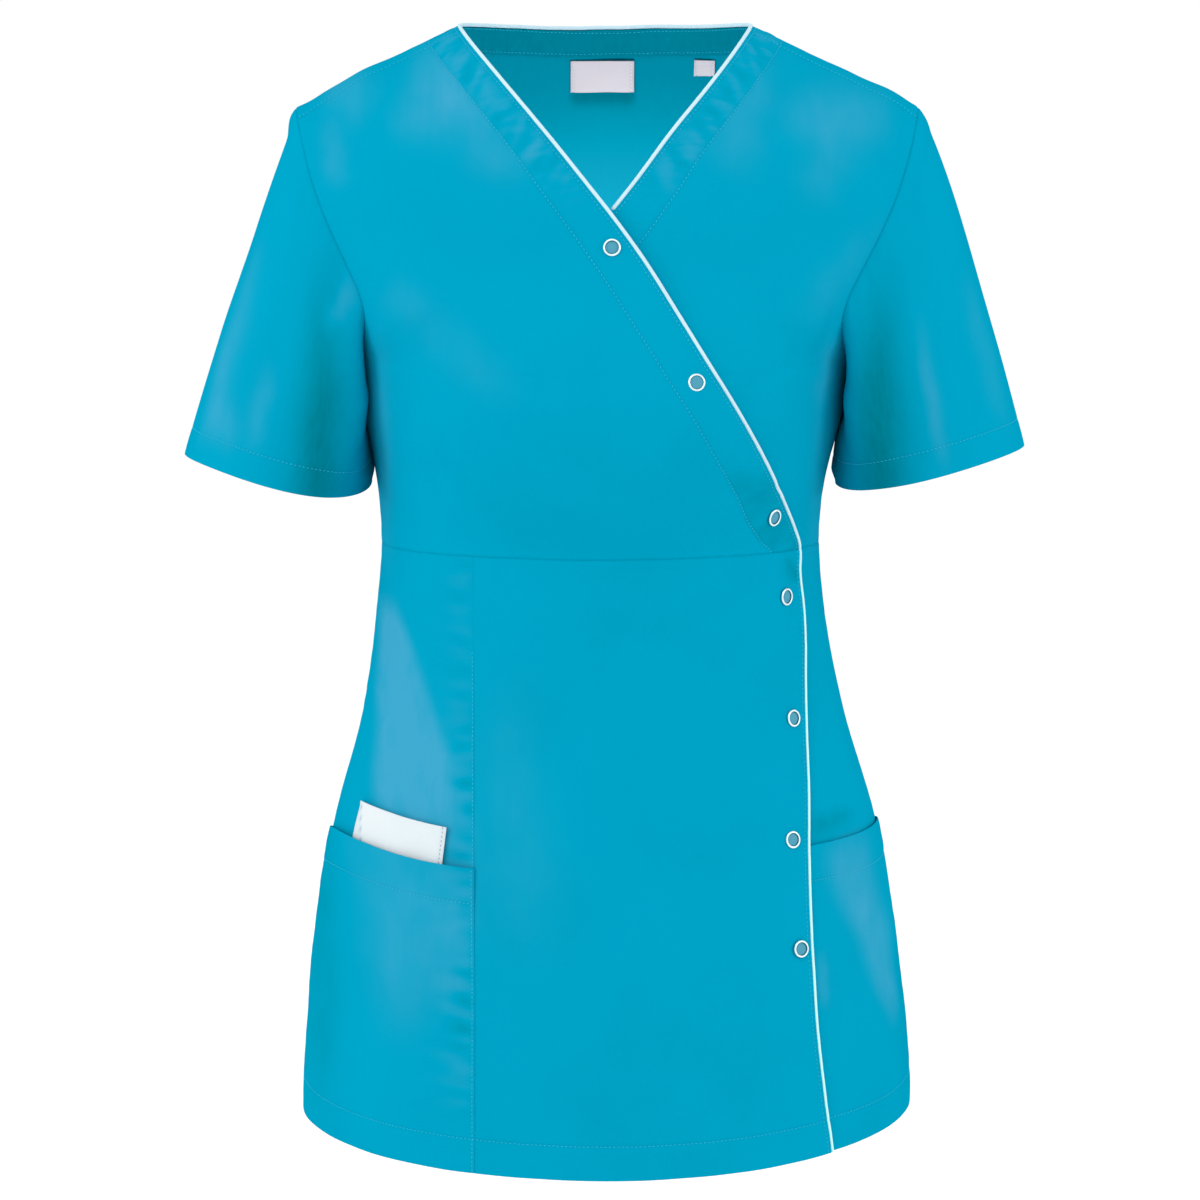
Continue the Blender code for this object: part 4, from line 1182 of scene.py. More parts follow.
def bodice_panel(edge, inner):
    """A bodice front: columns from the side to the crossing edge, rows from the seam under the bust up. Its
    band has its own distances, straight from the crossing edge."""
    base = upper_grid(FRONT, edge, inner, WIDE)
    widest = run_along(torso(*base), 1)[:, -1].max()
    line = band_line(base.height[:, -1])[:, None]
    marks = ladder([EDGE_LINE, BAND_LINE[1]], 1.25 * BAND_LINE[1])[None, :]
    narrow = 1 + (line / BAND_LINE[1] - 1) * ease(0.004, 0.014, marks)
    far = marks * narrow * lean_of(base)[:, None]
    columns = stations(cells_for(widest - 0.06), ladder(), far)
    grid = resampled(base, 1, [(0, WIDE, columns)])
    foot, last = SIDE_ROWS, SIDE_ROWS + SCOOP_ROWS + YOKE_ROWS
    low = stations(cells_for(0.105), ladder(), np.zeros(1))
    high = stations(cells_for(0.215), np.zeros(1), ladder([SHOULDER_LINE], 0.022))
    panel = Panel(resampled(grid, 0, [(0, foot, low), (foot, last, high)]))
    lean = np.interp(panel.points[:, -1, 2], base.height[:, -1], lean_of(base))
    from_edge = panel.away("end") / lean[:, None]
    panel.edges["band"] = (from_edge, panel.up[:, -1:] + 0 * from_edge)
    panel.band = band_line(panel.points[:, -1:, 2]) + 0 * from_edge
    panel.foot = len(low(np.ones(1))[0]) - 1
    return panel


def crowd(value, low, high, soft=0.012):
    """1 between low and high, and 0 away from them."""
    return ease(low - soft, low, value) * (1 - ease(high, high + soft, value))


def band_puckers(panel, seed):
    """The crossing band's puckers, which are deepest near the shoulder."""
    away, run = panel.edges["band"]
    height = panel.points[:, -1:, 2]
    strong = crowd(height, -0.070, 0.01, 0.030) + 0.45 * crowd(height, -0.318, -0.270)
    within = np.clip(away / panel.band, 0, 1)
    waves = noise(run / 0.0080 + within * 2.2, within * 0.9, seed)
    waves += 0.6 * noise(run / 0.0042 + within * 1.2, within * 1.8, seed + 7)
    return strong * waves * np.sin(math.pi * within) ** 0.6 * (within < 1)


def on_front(spec):
    """A snap's place on the body's surface."""
    return torso(FRONT, turn_at(spec.across, spec.height), spec.height)


def snap_relief(points):
    """The cloth's small dip round each snap."""
    away = [np.linalg.norm(points - on_front(spec), axis=-1) for spec in SNAPS]
    return -sum(SNAP_DIP * bell(distance, SNAP_DIP_HALF) for distance in away)


def bodice(name, panel, replaced, seed, under=False):
    """A bodice front with its band, and its outer points."""
    away, run = panel.edges["band"]
    band, puckers = away < panel.band, band_puckers(panel, seed)
    extra = 0.0006 * puckers + folded(away, panel.band)
    extra += stitched(away, run, panel.band, seed + 1, 0.00022)
    extra += stitched(away, run, EDGE_LINE, seed + 2, 0.00010, 0.004)
    extra += seam(*panel.edges["start"], seed + 3)
    extra += seam(*panel.edges["bottom"], seed + 4, 0.00030)
    extra += seam(*panel.edges["top"], seed + 5, 0.00015)
    extra += stitched(*panel.edges["top"], SHOULDER_LINE, seed + 6, 0.00012)
    if not under:
        extra += snap_relief(panel.points)
    # Painted shade along the shoulder's stitches, the band's stitches, the piped edge's stitches and the seams.
    tone = tones(
        panel,
        ("top", SHOULDER_LINE + 0.0010, -0.30),
        ("band", panel.band, -0.28),
        ("band", EDGE_LINE, -0.12),
        ("bottom", 0, -0.25),
        ("start", 0, -0.22),
    )
    # Painted highlights on the band's puckers and painted shade between them, and painted shade on the band
    # near its foot.
    gleam = 0.55 * np.where(puckers > 0, puckers, 0.5 * puckers)
    gleam -= 0.30 * crowd(panel.points[..., 2], -0.330, -0.276, 0.020) * band
    thick = FINE * (1 + DOUBLE * band)
    piece, outer = dress(name, panel, extra, tone, thick, gleam, 0.8 * band, under=under)
    places = ("band", panel.band[:, 0]), ("band", EDGE_LINE), ("top", SHOULDER_LINE)
    finish(piece, name, [panel.line(outer, *place) for place in places], replaced, panel)
    return outer


def skirt_panel(sign, edges, widths, last):
    """A skirt panel: columns edge by edge, rows from the hem to the seam under the bust. It comes with its
    plain grid. widths are of the parts between its edges, and last has the distances near its last edge."""
    cells, joins = WIDE // 2, [ladder()] + [np.zeros(1)] * (len(widths) - 1) + [last]
    base = skirt_grid(FRONT, edges, [cells] * len(widths), sign)
    sections = [
        (number * cells, (number + 1) * cells, stations(cells_for(width), *joins[number : number + 2]))
        for number, width in enumerate(widths)
    ]
    rows = stations(cells_for(0.345), ladder([HEM_LINE], 0.026), ladder())
    return Panel(resampled(resampled(base, 1, sections), 0, [(0, POCKET_ROWS + HIP_ROWS, rows)])), base


def hem_relief(panel, seed):
    """The hem's fullness, its line of stitches and its slow waves."""
    away, run = panel.edges["bottom"]
    out = folded(away, HEM_LINE) + stitched(away, run, HEM_LINE, seed, 0.00020, 0.007)
    return out + 0.0003 * noise(run / 0.03, 0, seed + 1) * (1 - ease(0.0, 0.03, away))


def beside_seam(distance, run, seed):
    """The gleam of a seam's puckers."""
    near = distance / 0.006 * np.exp(1 - distance / 0.006)
    return 0.50 * near * noise(run / PUCKER_PITCH, distance / 0.03, seed) * ease(0.02, 0.08, run)


def skirt(name, panel, replaced, seed, puckers=0.00030, crossing=False, under=False):
    """A skirt panel with its hem, and its outer points. It ends at a seam or at the crossing edge. The right
    side's vertical seam gathers the cloth little near the waist, and has stitches beside it."""
    away, run = panel.edges["end"]
    strength = 1.0 if under else 0.35 + 0.65 * ease(-0.39, -0.47, panel.grid.height)
    at_start, at_end = (strength, 1.0) if crossing else (1.0, strength)
    extra = hem_relief(panel, seed) + seam(*panel.edges["top"], seed + 2, 0.00034)
    extra += seam(*panel.edges["start"], seed + 3, 0.5 * puckers, 0.014) * at_start
    # Painted shade along the hem's stitches and the top seam, lighter along the hem's folded edge, and painted
    # light beside the start seam.
    tone = tones(
        panel, ("bottom", HEM_LINE, -0.15), ("top", 0, -0.25), ("bottom", 0, 0.10, 0.0012), ("start", 0, 0.10)
    )
    if crossing:
        extra += stitched(away, run, EDGE_LINE, seed + 5, 0.00012, 0.004) + snap_relief(panel.points)
        # Painted shade along the crossing edge's stitches.
        tone += tone_at(away, EDGE_LINE, -0.10)
        gleam = 0.0
    else:
        extra += seam(away, run, seed + 4, puckers, 0.016) * at_end
        # Painted shade along the end seam.
        tone += tone_at(away, 0, -0.14)
        # Painted highlights and painted shade on the end seam's puckers.
        gleam = beside_seam(away, run, seed + 4) * at_end
    thick = FINE * (1 + DOUBLE * (panel.away("bottom") < HEM_LINE))
    piece, outer = dress(name, panel, extra, tone, thick, gleam, under=under)
    lines = [panel.line(outer, "bottom", HEM_LINE)]
    if crossing:
        lines.append(panel.line(outer, "end", EDGE_LINE))
    elif not under:
        lines.append(panel.line(outer, "end", PRINCESS_LINE, panel.points[:, -1, 2] < PRINCESS_TOP))
    finish(piece, name, lines, replaced, panel)
    return outer


def pocket(name, sign, base, carrier, seed):
    """A patch pocket: sewn in at its sides, hemmed at its mouth, and standing off there."""
    part = Grid(FRONT, *(values[: POCKET_ROWS + 1, : WIDE // 2 + 1] for values in (base.turn, base.height)))
    grid = resampled(part, 1, [(0, WIDE // 2, stations(cells_for(0.095), ladder(), ladder()))])
    rows = stations(cells_for(0.14), ladder([HEM_LINE], 0.026), ladder([POCKET_LINE], 0.027))
    panel = Panel(resampled(grid, 0, [(0, POCKET_ROWS, rows)]))
    below_mouth = pocket_top(sign, panel.grid.turn) - panel.grid.height
    gape = np.clip(1 - below_mouth / POCKET_GAPE_DEPTH, 0, 1) ** 2
    gape = gape * pocket_gape(panel.across / panel.across[:, -1:])
    loose = ease(0.0, 0.005, panel.away("start")) * ease(-0.002, 0.014, panel.away("end"))
    extra = SEAM + loose * CLOTH + POCKET_GAPE[sign] * gape + hem_relief(panel, seed)
    extra += seam(*panel.edges["start"], seed + 1, 0.0002)
    extra += seam(*panel.edges["end"], seed + 2, 0.00050, 0.012)
    extra += folded(panel.away("top"), POCKET_LINE)
    extra += stitched(*panel.edges["top"], POCKET_LINE, seed + 3, 0.00018)
    extra += 0.0006 * noise(panel.across / 0.04, panel.up / 0.05, seed + 4) * loose
    # Painted shade along the mouth's stitches, the hem's stitches and the side seam, lighter along the mouth's
    # folded edge, and painted light along the inner seam, against the shade of the gap beside it.
    tone = tones(
        panel,
        ("top", POCKET_LINE, -0.25),
        ("top", 0, 0.12, 0.0012),
        ("bottom", HEM_LINE, -0.15),
        ("end", 0, 0.60, 0.0011),
        ("start", 0, -0.15),
    )
    # Painted highlights and painted shade on the inner seam's puckers.
    gleam = beside_seam(*panel.edges["end"], seed + 5)
    piece, outer = dress(f"{name}_cloth", panel, extra, tone, gleam=gleam, under=sign == LEFT)
    places = ("bottom", HEM_LINE), ("top", POCKET_LINE), ("end", PRINCESS_LINE)
    lines = [panel.line(outer, *place) for place in places]
    finish(piece, name, lines, [name], panel, rests_on=[carrier])


def back_panel():
    """The whole back, from the hem to the shoulders and the neck."""
    sides = side_line(RIGHT), side_line(LEFT)
    upper, lower = upper_grid(BACK, *sides, WIDE, back_neck_drop), skirt_grid(BACK, sides, [WIDE])
    pairs = (lower.turn, upper.turn), (lower.height, upper.height)
    base = Grid(BACK, *(np.vstack([below[:-1], above]) for below, above in pairs))
    grid = resampled(base, 1, [(0, WIDE, stations(160, ladder(), ladder()))])
    foot = POCKET_ROWS + HIP_ROWS + SIDE_ROWS
    low = stations(142, ladder([HEM_LINE], 0.026), np.zeros(1))
    high = stations(70, np.zeros(1), ladder([EDGE_LINE]))
    panel = Panel(resampled(grid, 0, [(0, foot, low), (foot, foot + SCOOP_ROWS + YOKE_ROWS, high)]))
    panel.foot = len(low(np.ones(1))[0]) - 1
    return panel


def back(panel):
    """The back with its piped neck, and its outer points. Its inside has painted shade near the neck, most of
    all just below the neck label as that label's painted shadow, and painted light lower down."""
    neck = np.abs(panel.points[-1, :, 0]) < NECK_HALF
    top = panel.edges["top"]
    extra = hem_relief(panel, 61) + seam(*panel.edges["start"], 62) + seam(*panel.edges["end"], 63)
    extra += np.where(neck, stitched(*top, EDGE_LINE, 64, 0.0001, 0.004), seam(*top, 65, 0.00015))
    # Painted shade along the side seams, the neck and shoulder edge, and the hem's stitches.
    tone = tones(panel, ("start", 0, -0.32), ("end", 0, -0.32), ("top", 0, -0.25))
    tone += tone_at(panel.away("bottom"), HEM_LINE, -0.22)
    across, height = panel.points[..., 0], panel.points[..., 2]
    # Painted light low on the inside, painted shade near the neck, and the neck label's painted shadow below
    # it.
    inside_gleam = 0.10 * ease(-0.055, -0.115, height) - 0.32 * (1 - ease(-0.030, -0.095, height))
    inside_gleam -= 0.55 * bell(height + 0.0485, 0.0055) * crowd(across, -0.019, 0.016, 0.006)
    thick = FINE * (1 + DOUBLE * (panel.away("bottom") < HEM_LINE))
    piece, outer = dress("back_cloth", panel, extra, tone, thick, inside_gleam=inside_gleam)
    lines = [panel.line(outer, "bottom", HEM_LINE), panel.line(outer, "top", EDGE_LINE, neck)]
    finish(piece, "back", lines, ["back"], panel)
    return outer


def cuff_point(cuff, half, share):
    """Points of a sleeve's opening: share runs from its inner point to its outer one, over one half."""
    angle = (math.pi * share)[:, None]
    outer, inner = np.array(cuff.outer), np.array(cuff.inner)
    point = (outer + inner) / 2 + (inner - outer) / 2 * np.cos(angle)
    sag = cuff.front_sag + cuff.front_lean * np.cos(angle) if half == FRONT else cuff.back_sag + 0 * angle
    return point + np.sin(angle) * np.hstack([0 * angle, half * cuff.half_depth + 0 * angle, -sag])


def sleeve(name, sign, front, behind, seed):
    """A set-in sleeve, lofted from the armhole to its opening. front and behind are armhole edges."""
    ring, way = (np.vstack([near, far[-2:0:-1]]) for near, far in zip(front, behind))
    cuff, top, count = CUFFS[sign], len(front[0]) - 1, len(ring)
    run = run_along(np.vstack([ring, ring[:1]]))
    back_share = (run[count] - run[top + 1 : count]) / (run[count] - run[top])
    halves = (FRONT, run[: top + 1] / run[top]), (BACK, back_share)
    opening = np.vstack([cuff_point(cuff, *half) for half in halves])
    low, high = ring[:, 2].min(), ring[:, 2].max()
    headward = ((ring[:, 2] - low) / (high - low))[:, None]
    front_share = (run[:count] / run[top])[:, None]
    tuck = cuff.tuck * bell(front_share - TUCK_AT, TUCK_HALF) * (front_share <= 1)
    over = np.array([sign * CAP_WAY[0], 0, CAP_WAY[1]])
    inward = np.array([-sign * TUCK_WAY[0], -TUCK_WAY[1], 0])

    def loft(step):
        """Points at steps from the armhole, one column for each point of the ring."""
        step = step[..., None]
        rise = CAP_RISE * np.sin(math.pi * np.minimum(step / CAP_RUN, 1))
        rise = rise + cuff.swell * np.sin(math.pi * step**0.6)
        fold = 1 - (1 - np.minimum(step / UNDERARM_RUN, 1)) ** 2
        clear = UNDERARM_RISE * fold * (1 - UNDERARM_FADE * step) * (1 - headward) ** 2
        points = ring * (1 - step) + opening * step + over * rise * headward**2
        return points + inward * tuck * np.sin(math.pi * step) + np.array([sign, 0, 0]) * clear

    coarse = np.linspace(0, 1, 81)
    length = run_along(loft(coarse[:, None] + np.zeros(count)))
    spots = stations(58, ladder(), ladder([SLEEVE_HEM_LINE], 0.021))(length[-1])
    step = np.array([np.interp(spot, known, coarse) for spot, known in zip(spots, length.T)]).T
    points = loft(step)
    around = (np.roll(points, -1, axis=1) - np.roll(points, 1, axis=1)) / 2
    normal = unit(np.cross(around, np.gradient(points, axis=0)))
    if ((points - points.mean(axis=1, keepdims=True)) * normal).sum() < 0:
        normal = -normal
    mix = ease(0.0, 0.006, spots.T)[..., None]
    normal = unit(way * (1 - mix) + normal * mix)
    from_top, from_bottom = spots.T, length[-1] - spots.T
    share, down = run[:count] / run[count], from_top / length[-1]
    girth = np.zeros_like(from_top) + run[:count]
    extra = sleeve_relief(sign, share, down)
    extra += seam(from_top, girth, seed, 0.00035, 0.012)
    extra += folded(from_bottom, SLEEVE_HEM_LINE)
    extra += stitched(from_bottom, girth, SLEEVE_HEM_LINE, seed + 1, 0.0002)
    outer = points + normal * extra[..., None]
    # Painted shade along the armhole seam and the hem's stitches, and lighter along the folded hem edge.
    tone = tone_at(from_top, 0, -0.22) + tone_at(from_bottom, SLEEVE_HEM_LINE, -0.15)
    tone += tone_at(from_bottom, 0, 0.1, 0.0012)
    inner_way = -normal * (FINE * (1 + DOUBLE * (from_bottom < SLEEVE_HEM_LINE)))[..., None]
    uv = np.stack([girth, -from_top], axis=-1)
    # the lowest point of the ring belongs to both halves, so the rows run round from the cuff upward
    upward = [part[::-1] for part in (outer, inner_way, uv, tone, sleeve_gleam(sign, share, down))]
    marks = {"tone": upward[3], "gleam": upward[4]}
    piece = shell(f"{name}_cloth", *upward[:3], marks, CLOTH_LOOK, True)
    line = line_on(outer, normal, from_bottom, SLEEVE_HEM_LINE, True, True)
    closed = [np.vstack([part, part[:1]]) for part in line]
    wall = Panel(Grid(FRONT, girth, girth), *(np.hstack([part, part[:, :1]]) for part in (points, normal)))
    finish(piece, name, [closed], [name], wall)


def armhole(panel, outer, column):
    """A panel's armhole edge, from the underarm to the shoulder, with its outward directions."""
    return outer[panel.foot :, column], panel.normal[panel.foot :, column]


def pipe(name, edges, away, replaced, seed, first_tip, last_tip):
    """Piping beside edges, each given by its points and outward directions. The tips lengthen its ends."""
    points, up = (np.vstack(parts) for parts in zip(*edges))
    before = points[:1] + first_tip * unit(points[:1] - points[2:3])
    after = points[-1:] + last_tip * unit(points[-1:] - points[-3:-2])
    points, up = np.vstack([before, points, after]), np.vstack([up[:1], up, up[-1:]])
    beside = unit(np.cross(unit(np.gradient(points, axis=0)), up))
    beside = beside * np.sign((beside * away).sum(axis=1))[:, None]
    path = points + beside * (PIPING_RADIUS - PIPING_SINK) - up * PIPING_SINK
    slim = PIPING_RADIUS * (1 - PIPING_SLIM * ease(-0.30, -0.37, path[:, 2]))
    trim(tube(name, path, up, slim, 12, PIPING_LOOK, seed), [replaced])


def neck_band(panel, outer):
    """The band inside the back neck, with its two lines of stitches."""
    columns = np.abs(panel.points[-1, :, 0]) < NECK_HALF
    below = panel.points[-1:, :, 2] - panel.points[:, :, 2]
    depths = ladder([EDGE_LINE, BAND_DEPTH - NECK_BAND_LINE], BAND_DEPTH, 0.0015)[::-1]
    rows = [line_on(outer, panel.normal, below, depth, True, True, columns) for depth in depths]
    band = Panel(Grid(BACK, 0, 0), *(np.array(part) for part in zip(*rows)))
    extra = stitched(*band.edges["bottom"], NECK_BAND_LINE, 71, 0.0003, 0.005)
    extra += stitched(*band.edges["top"], EDGE_LINE, 72, 0.0001, 0.004)
    swell = np.sin(math.pi * np.clip(band.up / BAND_DEPTH, 0, 1))
    extra += 0.0004 * noise(band.across / 0.012, band.up / 0.02, 73) * swell
    face = band.points - band.normal * (2 * FINE + BAND_GAP + extra)[..., None]
    none = 0 * extra
    # The band takes the inside's painted tint, and painted shade all over.
    marks = {"tone": none, "inside": 1 + none, "gleam": BAND_SHADE + none}
    piece = shell("back_neck_band_cloth", face, band.normal * FINE, band.uv(), marks, CLOTH_LOOK)
    places = ("bottom", NECK_BAND_LINE), ("top", EDGE_LINE)
    lines = [band.line(face, *place, way=-1) for place in places]
    finish(piece, "back_neck_band", lines, ["back_neck_band"], band, rests_on=["back"])


def label(spec, seed):
    """A bare label inside the back neck, with a turned and stitched edge at each side."""
    rows, columns = 22, 34
    height = np.linspace(spec.bottom, spec.top, rows)[:, None] + np.zeros(columns)
    turn = turn_at(np.linspace(spec.left, spec.right, columns) + np.zeros((rows, 1)), height)
    panel = Panel(Grid(BACK, turn, height))
    side = np.minimum(panel.away("start"), panel.away("end"))
    curl = 0.0008 * noise(panel.across / 0.02, panel.up / 0.015, seed) * ease(0.0, 0.006, panel.away("top"))
    curl += 0.0010 * (1 - ease(0.0, 0.012, panel.up))
    curl += stitched(side, panel.up, LABEL_LINE, seed + 1, 0.00016)
    face = panel.points - panel.normal * (CLOTH + LABEL_GAP + LABEL_CLOTH / 2 + curl)[..., None]
    # Painted shade along the stitches and the side edges.
    tone = tone_at(side, LABEL_LINE, -0.25) + tone_at(side, 0, -0.1)
    thick = panel.normal * LABEL_CLOTH / 2
    piece = shell(f"{spec.name}_cloth", face, thick, panel.uv(), {"tone": tone}, LABEL_LOOK)
    lines = [panel.line(face, edge, LABEL_LINE, way=-1) for edge in ("start", "end")]
    says = dict(slot="label", held="hung", rests_on=["back_neck_band"], look=WHITE_THREAD_LOOK)
    finish(piece, spec.name, lines, [spec.name], panel, **says)


def insert():
    """The folded white cloth that stands in the right pocket."""
    rows, columns = 30, 44
    level = POCKET_TOP[RIGHT][0]
    turn = turn_at(np.linspace(INSERT_OUTER, INSERT_INNER, columns), level) + np.zeros((rows, 1))
    height = pocket_top(RIGHT, turn) + np.linspace(-INSERT_TUCK, INSERT_RISE, rows)[:, None]
    panel = Panel(Grid(FRONT, turn, height))
    top, end = panel.away("top"), panel.away("end")
    diagonal = panel.across - 0.0012 - 0.36 * top
    out = 0.00045 * ease(-0.0008, 0.0008, diagonal) + 0.0005 * noise(panel.across / 0.02, panel.up / 0.02, 81)
    out += stitched(end, panel.up, INSERT_LINE, 82, 0.0001) + 0.0004 * (1 - ease(0.0, 0.003, top))
    outer = panel.points + panel.normal * (INSERT_GAP + INSERT_CLOTH + out)[..., None]
    # Painted shade along the fold and the stitches, and over the folded flap beyond the fold.
    tone = tone_at(diagonal, 0, -0.9, 0.0007) + tone_at(end, INSERT_LINE, -0.35) - 0.22 * (diagonal < 0)
    inward = -panel.normal * INSERT_CLOTH * 0.8
    piece = shell("pocket_insert_cloth", outer, inward, panel.uv(), {"tone": tone}, WHITE_LOOK)
    says = dict(slot="white_cloth", held="folded", rests_on=["pocket_right"], look=INSERT_THREAD_LOOK)
    lines = [panel.line(outer, "end", INSERT_LINE)]
    finish(piece, "pocket_insert", lines, ["pocket_insert"], panel, **says)


def snap(number, spec, cloth):
    """A ring snap: its open metal ring, the cloth swelling inside it, and a flat ring of painted shade between
    them. cloth holds the front's points.
    """
    low, high = (np.array(corner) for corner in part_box(f"snap_{number}"))
    middle = (low + high) / 2
    up = outward(FRONT, on_front(spec))
    aside = unit(np.cross(up, (0, 0, 1)))
    outs = circles(RING_POINTS, aside, np.cross(aside, up))
    sides = 14
    leans = 2 * math.pi * np.arange(sides) / sides
    across = SNAP_RADIUS - SNAP_WIRE + SNAP_WIRE * np.cos(leans) * 1.05
    rise = SNAP_WIRE * np.sin(leans) * 0.85 - 0.00012 * np.cos(leans)
    vertices = middle + outs[:, None] * across[:, None] + up * rise[:, None]
    faces = quads_of(numbered(RING_POINTS, sides, True, True))
    ring = made(f"snap_{number}_ring", vertices.reshape(-1, 3), faces, METAL_LOOK)
    trim(ring, [f"snap_{number}"])
    near = cloth[np.linalg.norm(cloth - middle, axis=1) < SNAP_RADIUS]
    base = max(-0.0005, ((near - middle) @ up).max() + 0.0002)
    inner, levels = SNAP_RADIUS - SNAP_WIRE * 2.6, np.linspace(1, 0.12, 7)
    spokes, half = outs[::2], RING_POINTS // 2
    dome = [middle + spokes * inner * level + up * (base + DISC_SWELL * (1 - level**2)) for level in levels]
    dome.append((middle + up * (base + DISC_SWELL))[None])
    cells = numbered(len(levels), half, True)
    last = cells[-1].tolist()
    tips = [(a, b, len(levels) * half) for a, b in zip(last, last[1:])]
    disc = made(f"snap_{number}_cloth", np.vstack(dome), quads_of(cells).tolist() + tips, DISC_LOOK)
    trim(disc)
    # A flat dark ring between the metal ring and the cloth inside it: painted shade of the gap there.
    reaches = SNAP_RADIUS - SNAP_WIRE, inner * 0.9
    rim = np.vstack([middle + spokes * reach + up * (base - 0.0001) for reach in reaches])
    trim(made(f"snap_{number}_painted_shade", rim, quads_of(numbered(2, half, True)), SNAP_SHADE_LOOK))


def garment():
    """All the pieces."""
    outer_front = bodice_panel(side_line(RIGHT), outer_edge)
    under_front = bodice_panel(side_line(LEFT), under_edge)
    outer_points = bodice("bodice_right_cloth", outer_front, ["bodice_right_outer"], 40)
    under_points = bodice("bodice_left_cloth", under_front, ["bodice_left_under"], 50, True)
    right_lines, left_lines = ([side_line(sign), seam_line(sign)] for sign in (RIGHT, LEFT))
    side, right_base = skirt_panel(RIGHT, right_lines, [0.10], ladder())
    front, _ = skirt_panel(RIGHT, [seam_line(RIGHT), outer_edge], [0.205], ladder([EDGE_LINE], 0.010))
    left, left_base = skirt_panel(LEFT, [*left_lines, under_edge], [0.12, 0.16], ladder())
    skirt("skirt_side_cloth", side, ["skirt_side_right"], 90, 0.00050)
    front_points = skirt("skirt_front_cloth", front, ["skirt_front_right"], 100, crossing=True)
    skirt("skirt_left_cloth", left, ["skirt_left_under"], 110, under=True)
    pocket("pocket_right", RIGHT, right_base, "skirt_side_right", 120)
    pocket("pocket_left", LEFT, left_base, "skirt_left_under", 130)
    insert()

    behind = back_panel()
    back_points = back(behind)
    neck_band(behind, back_points)
    for number, spec in enumerate(LABELS):
        label(spec, 75 + number)
    right_hole, left_hole = armhole(outer_front, outer_points, 0), armhole(under_front, under_points, 0)
    sleeve("sleeve_right", RIGHT, right_hole, armhole(behind, back_points, 0), 140)
    sleeve("sleeve_left", LEFT, left_hole, armhole(behind, back_points, -1), 150)

    below = front_points[:-1, -1], front.normal[:-1, -1]
    above = outer_points[:, -1], outer_front.normal[:, -1]
    pipe("piping_outer_cord", [below, above], (1, 0, 0), "piping_outer", 1, PIPING_END, PIPING_TIP)
    shown = under_front.points[:, -1, 2] > UNDER_PIPING_END
    line = under_points[shown, -1], under_front.normal[shown, -1]
    pipe("piping_under_cord", [line], (-1, 0, 0), "piping_under", 2, CROSSING_TIP, PIPING_TIP)
    keep = np.abs(behind.points[-1, :, 0]) < NECK_HALF + PIPING_RADIUS
    line = back_points[-1, keep], behind.normal[-1, keep]
    pipe("piping_back_cord", [line], (0, 0, 1), "piping_back", 3, NECK_TIP, NECK_TIP)
    cloth = np.vstack([outer_points.reshape(-1, 3), front_points.reshape(-1, 3)])
    for number, spec in enumerate(SNAPS, 1):
        snap(number, spec, cloth)


# ---- camera, floor and light

VIEW_TARGET, VIEW_DISTANCE, VIEW_ELEVATION = (-0.0032, 0.0, -0.36), 3.4, math.radians(9)
VIEW_WIDTH = 1200 * 0.000635  # the frame's pixels times the size of each, at the target
SENSOR = 36.0
FLOOR_HEIGHT, FLOOR_REACH, FLOOR_WHITE = -1.05, 30.0, 0.96
WORLD_STRENGTH = 1.04
LAMPS = table(
    "name azimuth elevation power",  # in degrees, with azimuth 0 in front and above 0 at the wearer's left
    ("left", -72, 14, 24),
    ("right", 72, 14, 22),
    ("top", -14, 52, 22),
)
LAMP_SIZE, LAMP_DISTANCE = 1.0, 3.0
INNER_POWER, INNER_SIZE, INNER_SIZE_Y = 0.42, 0.16, 0.10
INNER_PLACE, INNER_AIM = Vector((0, -0.03, -0.21)), Vector((0, 0.10, -0.10))


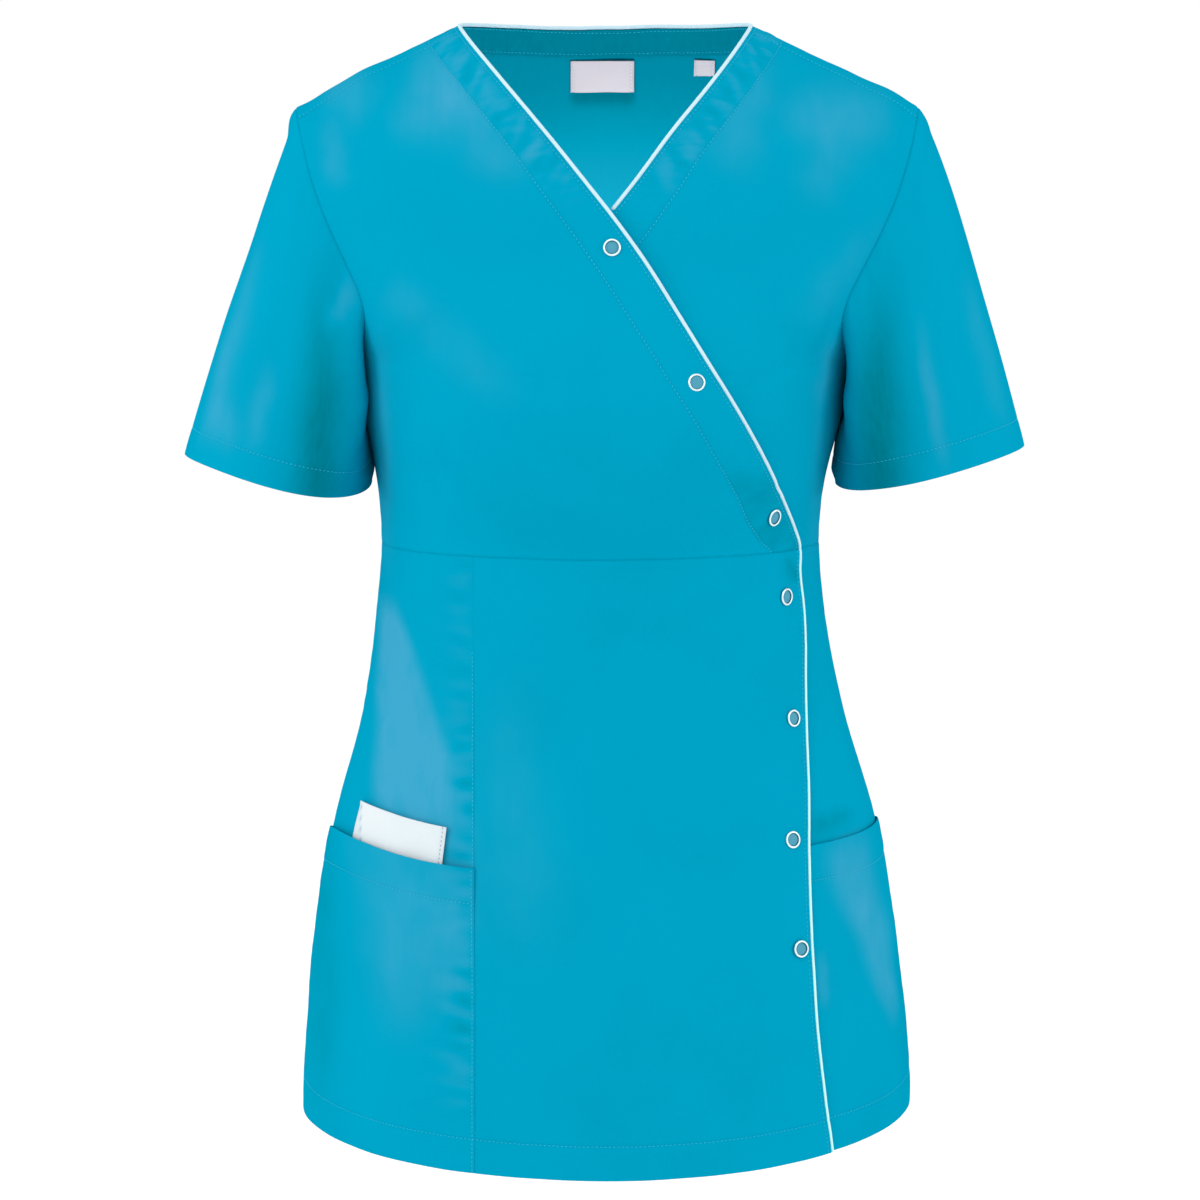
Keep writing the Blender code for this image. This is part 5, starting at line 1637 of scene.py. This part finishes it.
def camera():
    """The photograph's view."""
    data = bpy.data.cameras.new("camera")
    data.sensor_width = SENSOR
    data.lens = SENSOR * VIEW_DISTANCE / VIEW_WIDTH
    eye = placed("camera", data)
    back_off = Vector((0, -math.cos(VIEW_ELEVATION), math.sin(VIEW_ELEVATION)))
    eye.location = Vector(VIEW_TARGET) + back_off * VIEW_DISTANCE
    eye.rotation_euler = (SQUARE - VIEW_ELEVATION, 0, 0)
    bpy.context.scene.camera = eye


def lamp(name, azimuth, elevation, power):
    """A soft lamp, aimed at the garment from an azimuth and an elevation in degrees."""
    azimuth, elevation = math.radians(azimuth), math.radians(elevation)
    data = bpy.data.lights.new(name, "AREA")
    data.size, data.energy = LAMP_SIZE, power
    light = placed(name, data)
    flat = math.cos(elevation) * LAMP_DISTANCE
    up = math.sin(elevation) * LAMP_DISTANCE
    way = Vector((math.sin(azimuth) * flat, -math.cos(azimuth) * flat, up))
    light.location = Vector(VIEW_TARGET) + way
    light.rotation_euler = way.to_track_quat("Z", "Y").to_euler()


def inner_lamp():
    """A small soft light inside the chest, for the bright inner back."""
    data = bpy.data.lights.new("inner", "AREA")
    data.shape, data.size, data.size_y, data.energy = "RECTANGLE", INNER_SIZE, INNER_SIZE_Y, INNER_POWER
    light = placed("inner", data)
    light.location = INNER_PLACE
    light.rotation_euler = (INNER_AIM - INNER_PLACE).to_track_quat("-Z", "Y").to_euler()
    light.visible_camera = False


def studio():
    """A pale floor below the garment, a white world and the lamps."""
    mesh = bpy.data.meshes.new("floor")
    reach = FLOOR_REACH
    corners = [(-reach, -reach), (reach, -reach), (reach, reach), (-reach, reach)]
    mesh.from_pydata([(x, y, FLOOR_HEIGHT) for x, y in corners], [], [(0, 1, 2, 3)])
    pale = Shading("pale floor", 0.9, 0.0)
    pale.set(pale.shader, {"Base Color": (FLOOR_WHITE, FLOOR_WHITE, FLOOR_WHITE, 1)})
    mesh.materials.append(pale.material)
    placed("floor", mesh)
    world = bpy.data.worlds.new("white room")
    world.use_nodes = True
    world.node_tree.nodes["Background"].inputs["Color"].default_value = (1, 1, 1, 1)
    world.node_tree.nodes["Background"].inputs["Strength"].default_value = WORLD_STRENGTH
    bpy.context.scene.world = world
    bpy.context.scene.view_settings.view_transform = "Standard"
    for row in LAMPS:
        lamp(*row)
    inner_lamp()


camera()
studio()
garment()
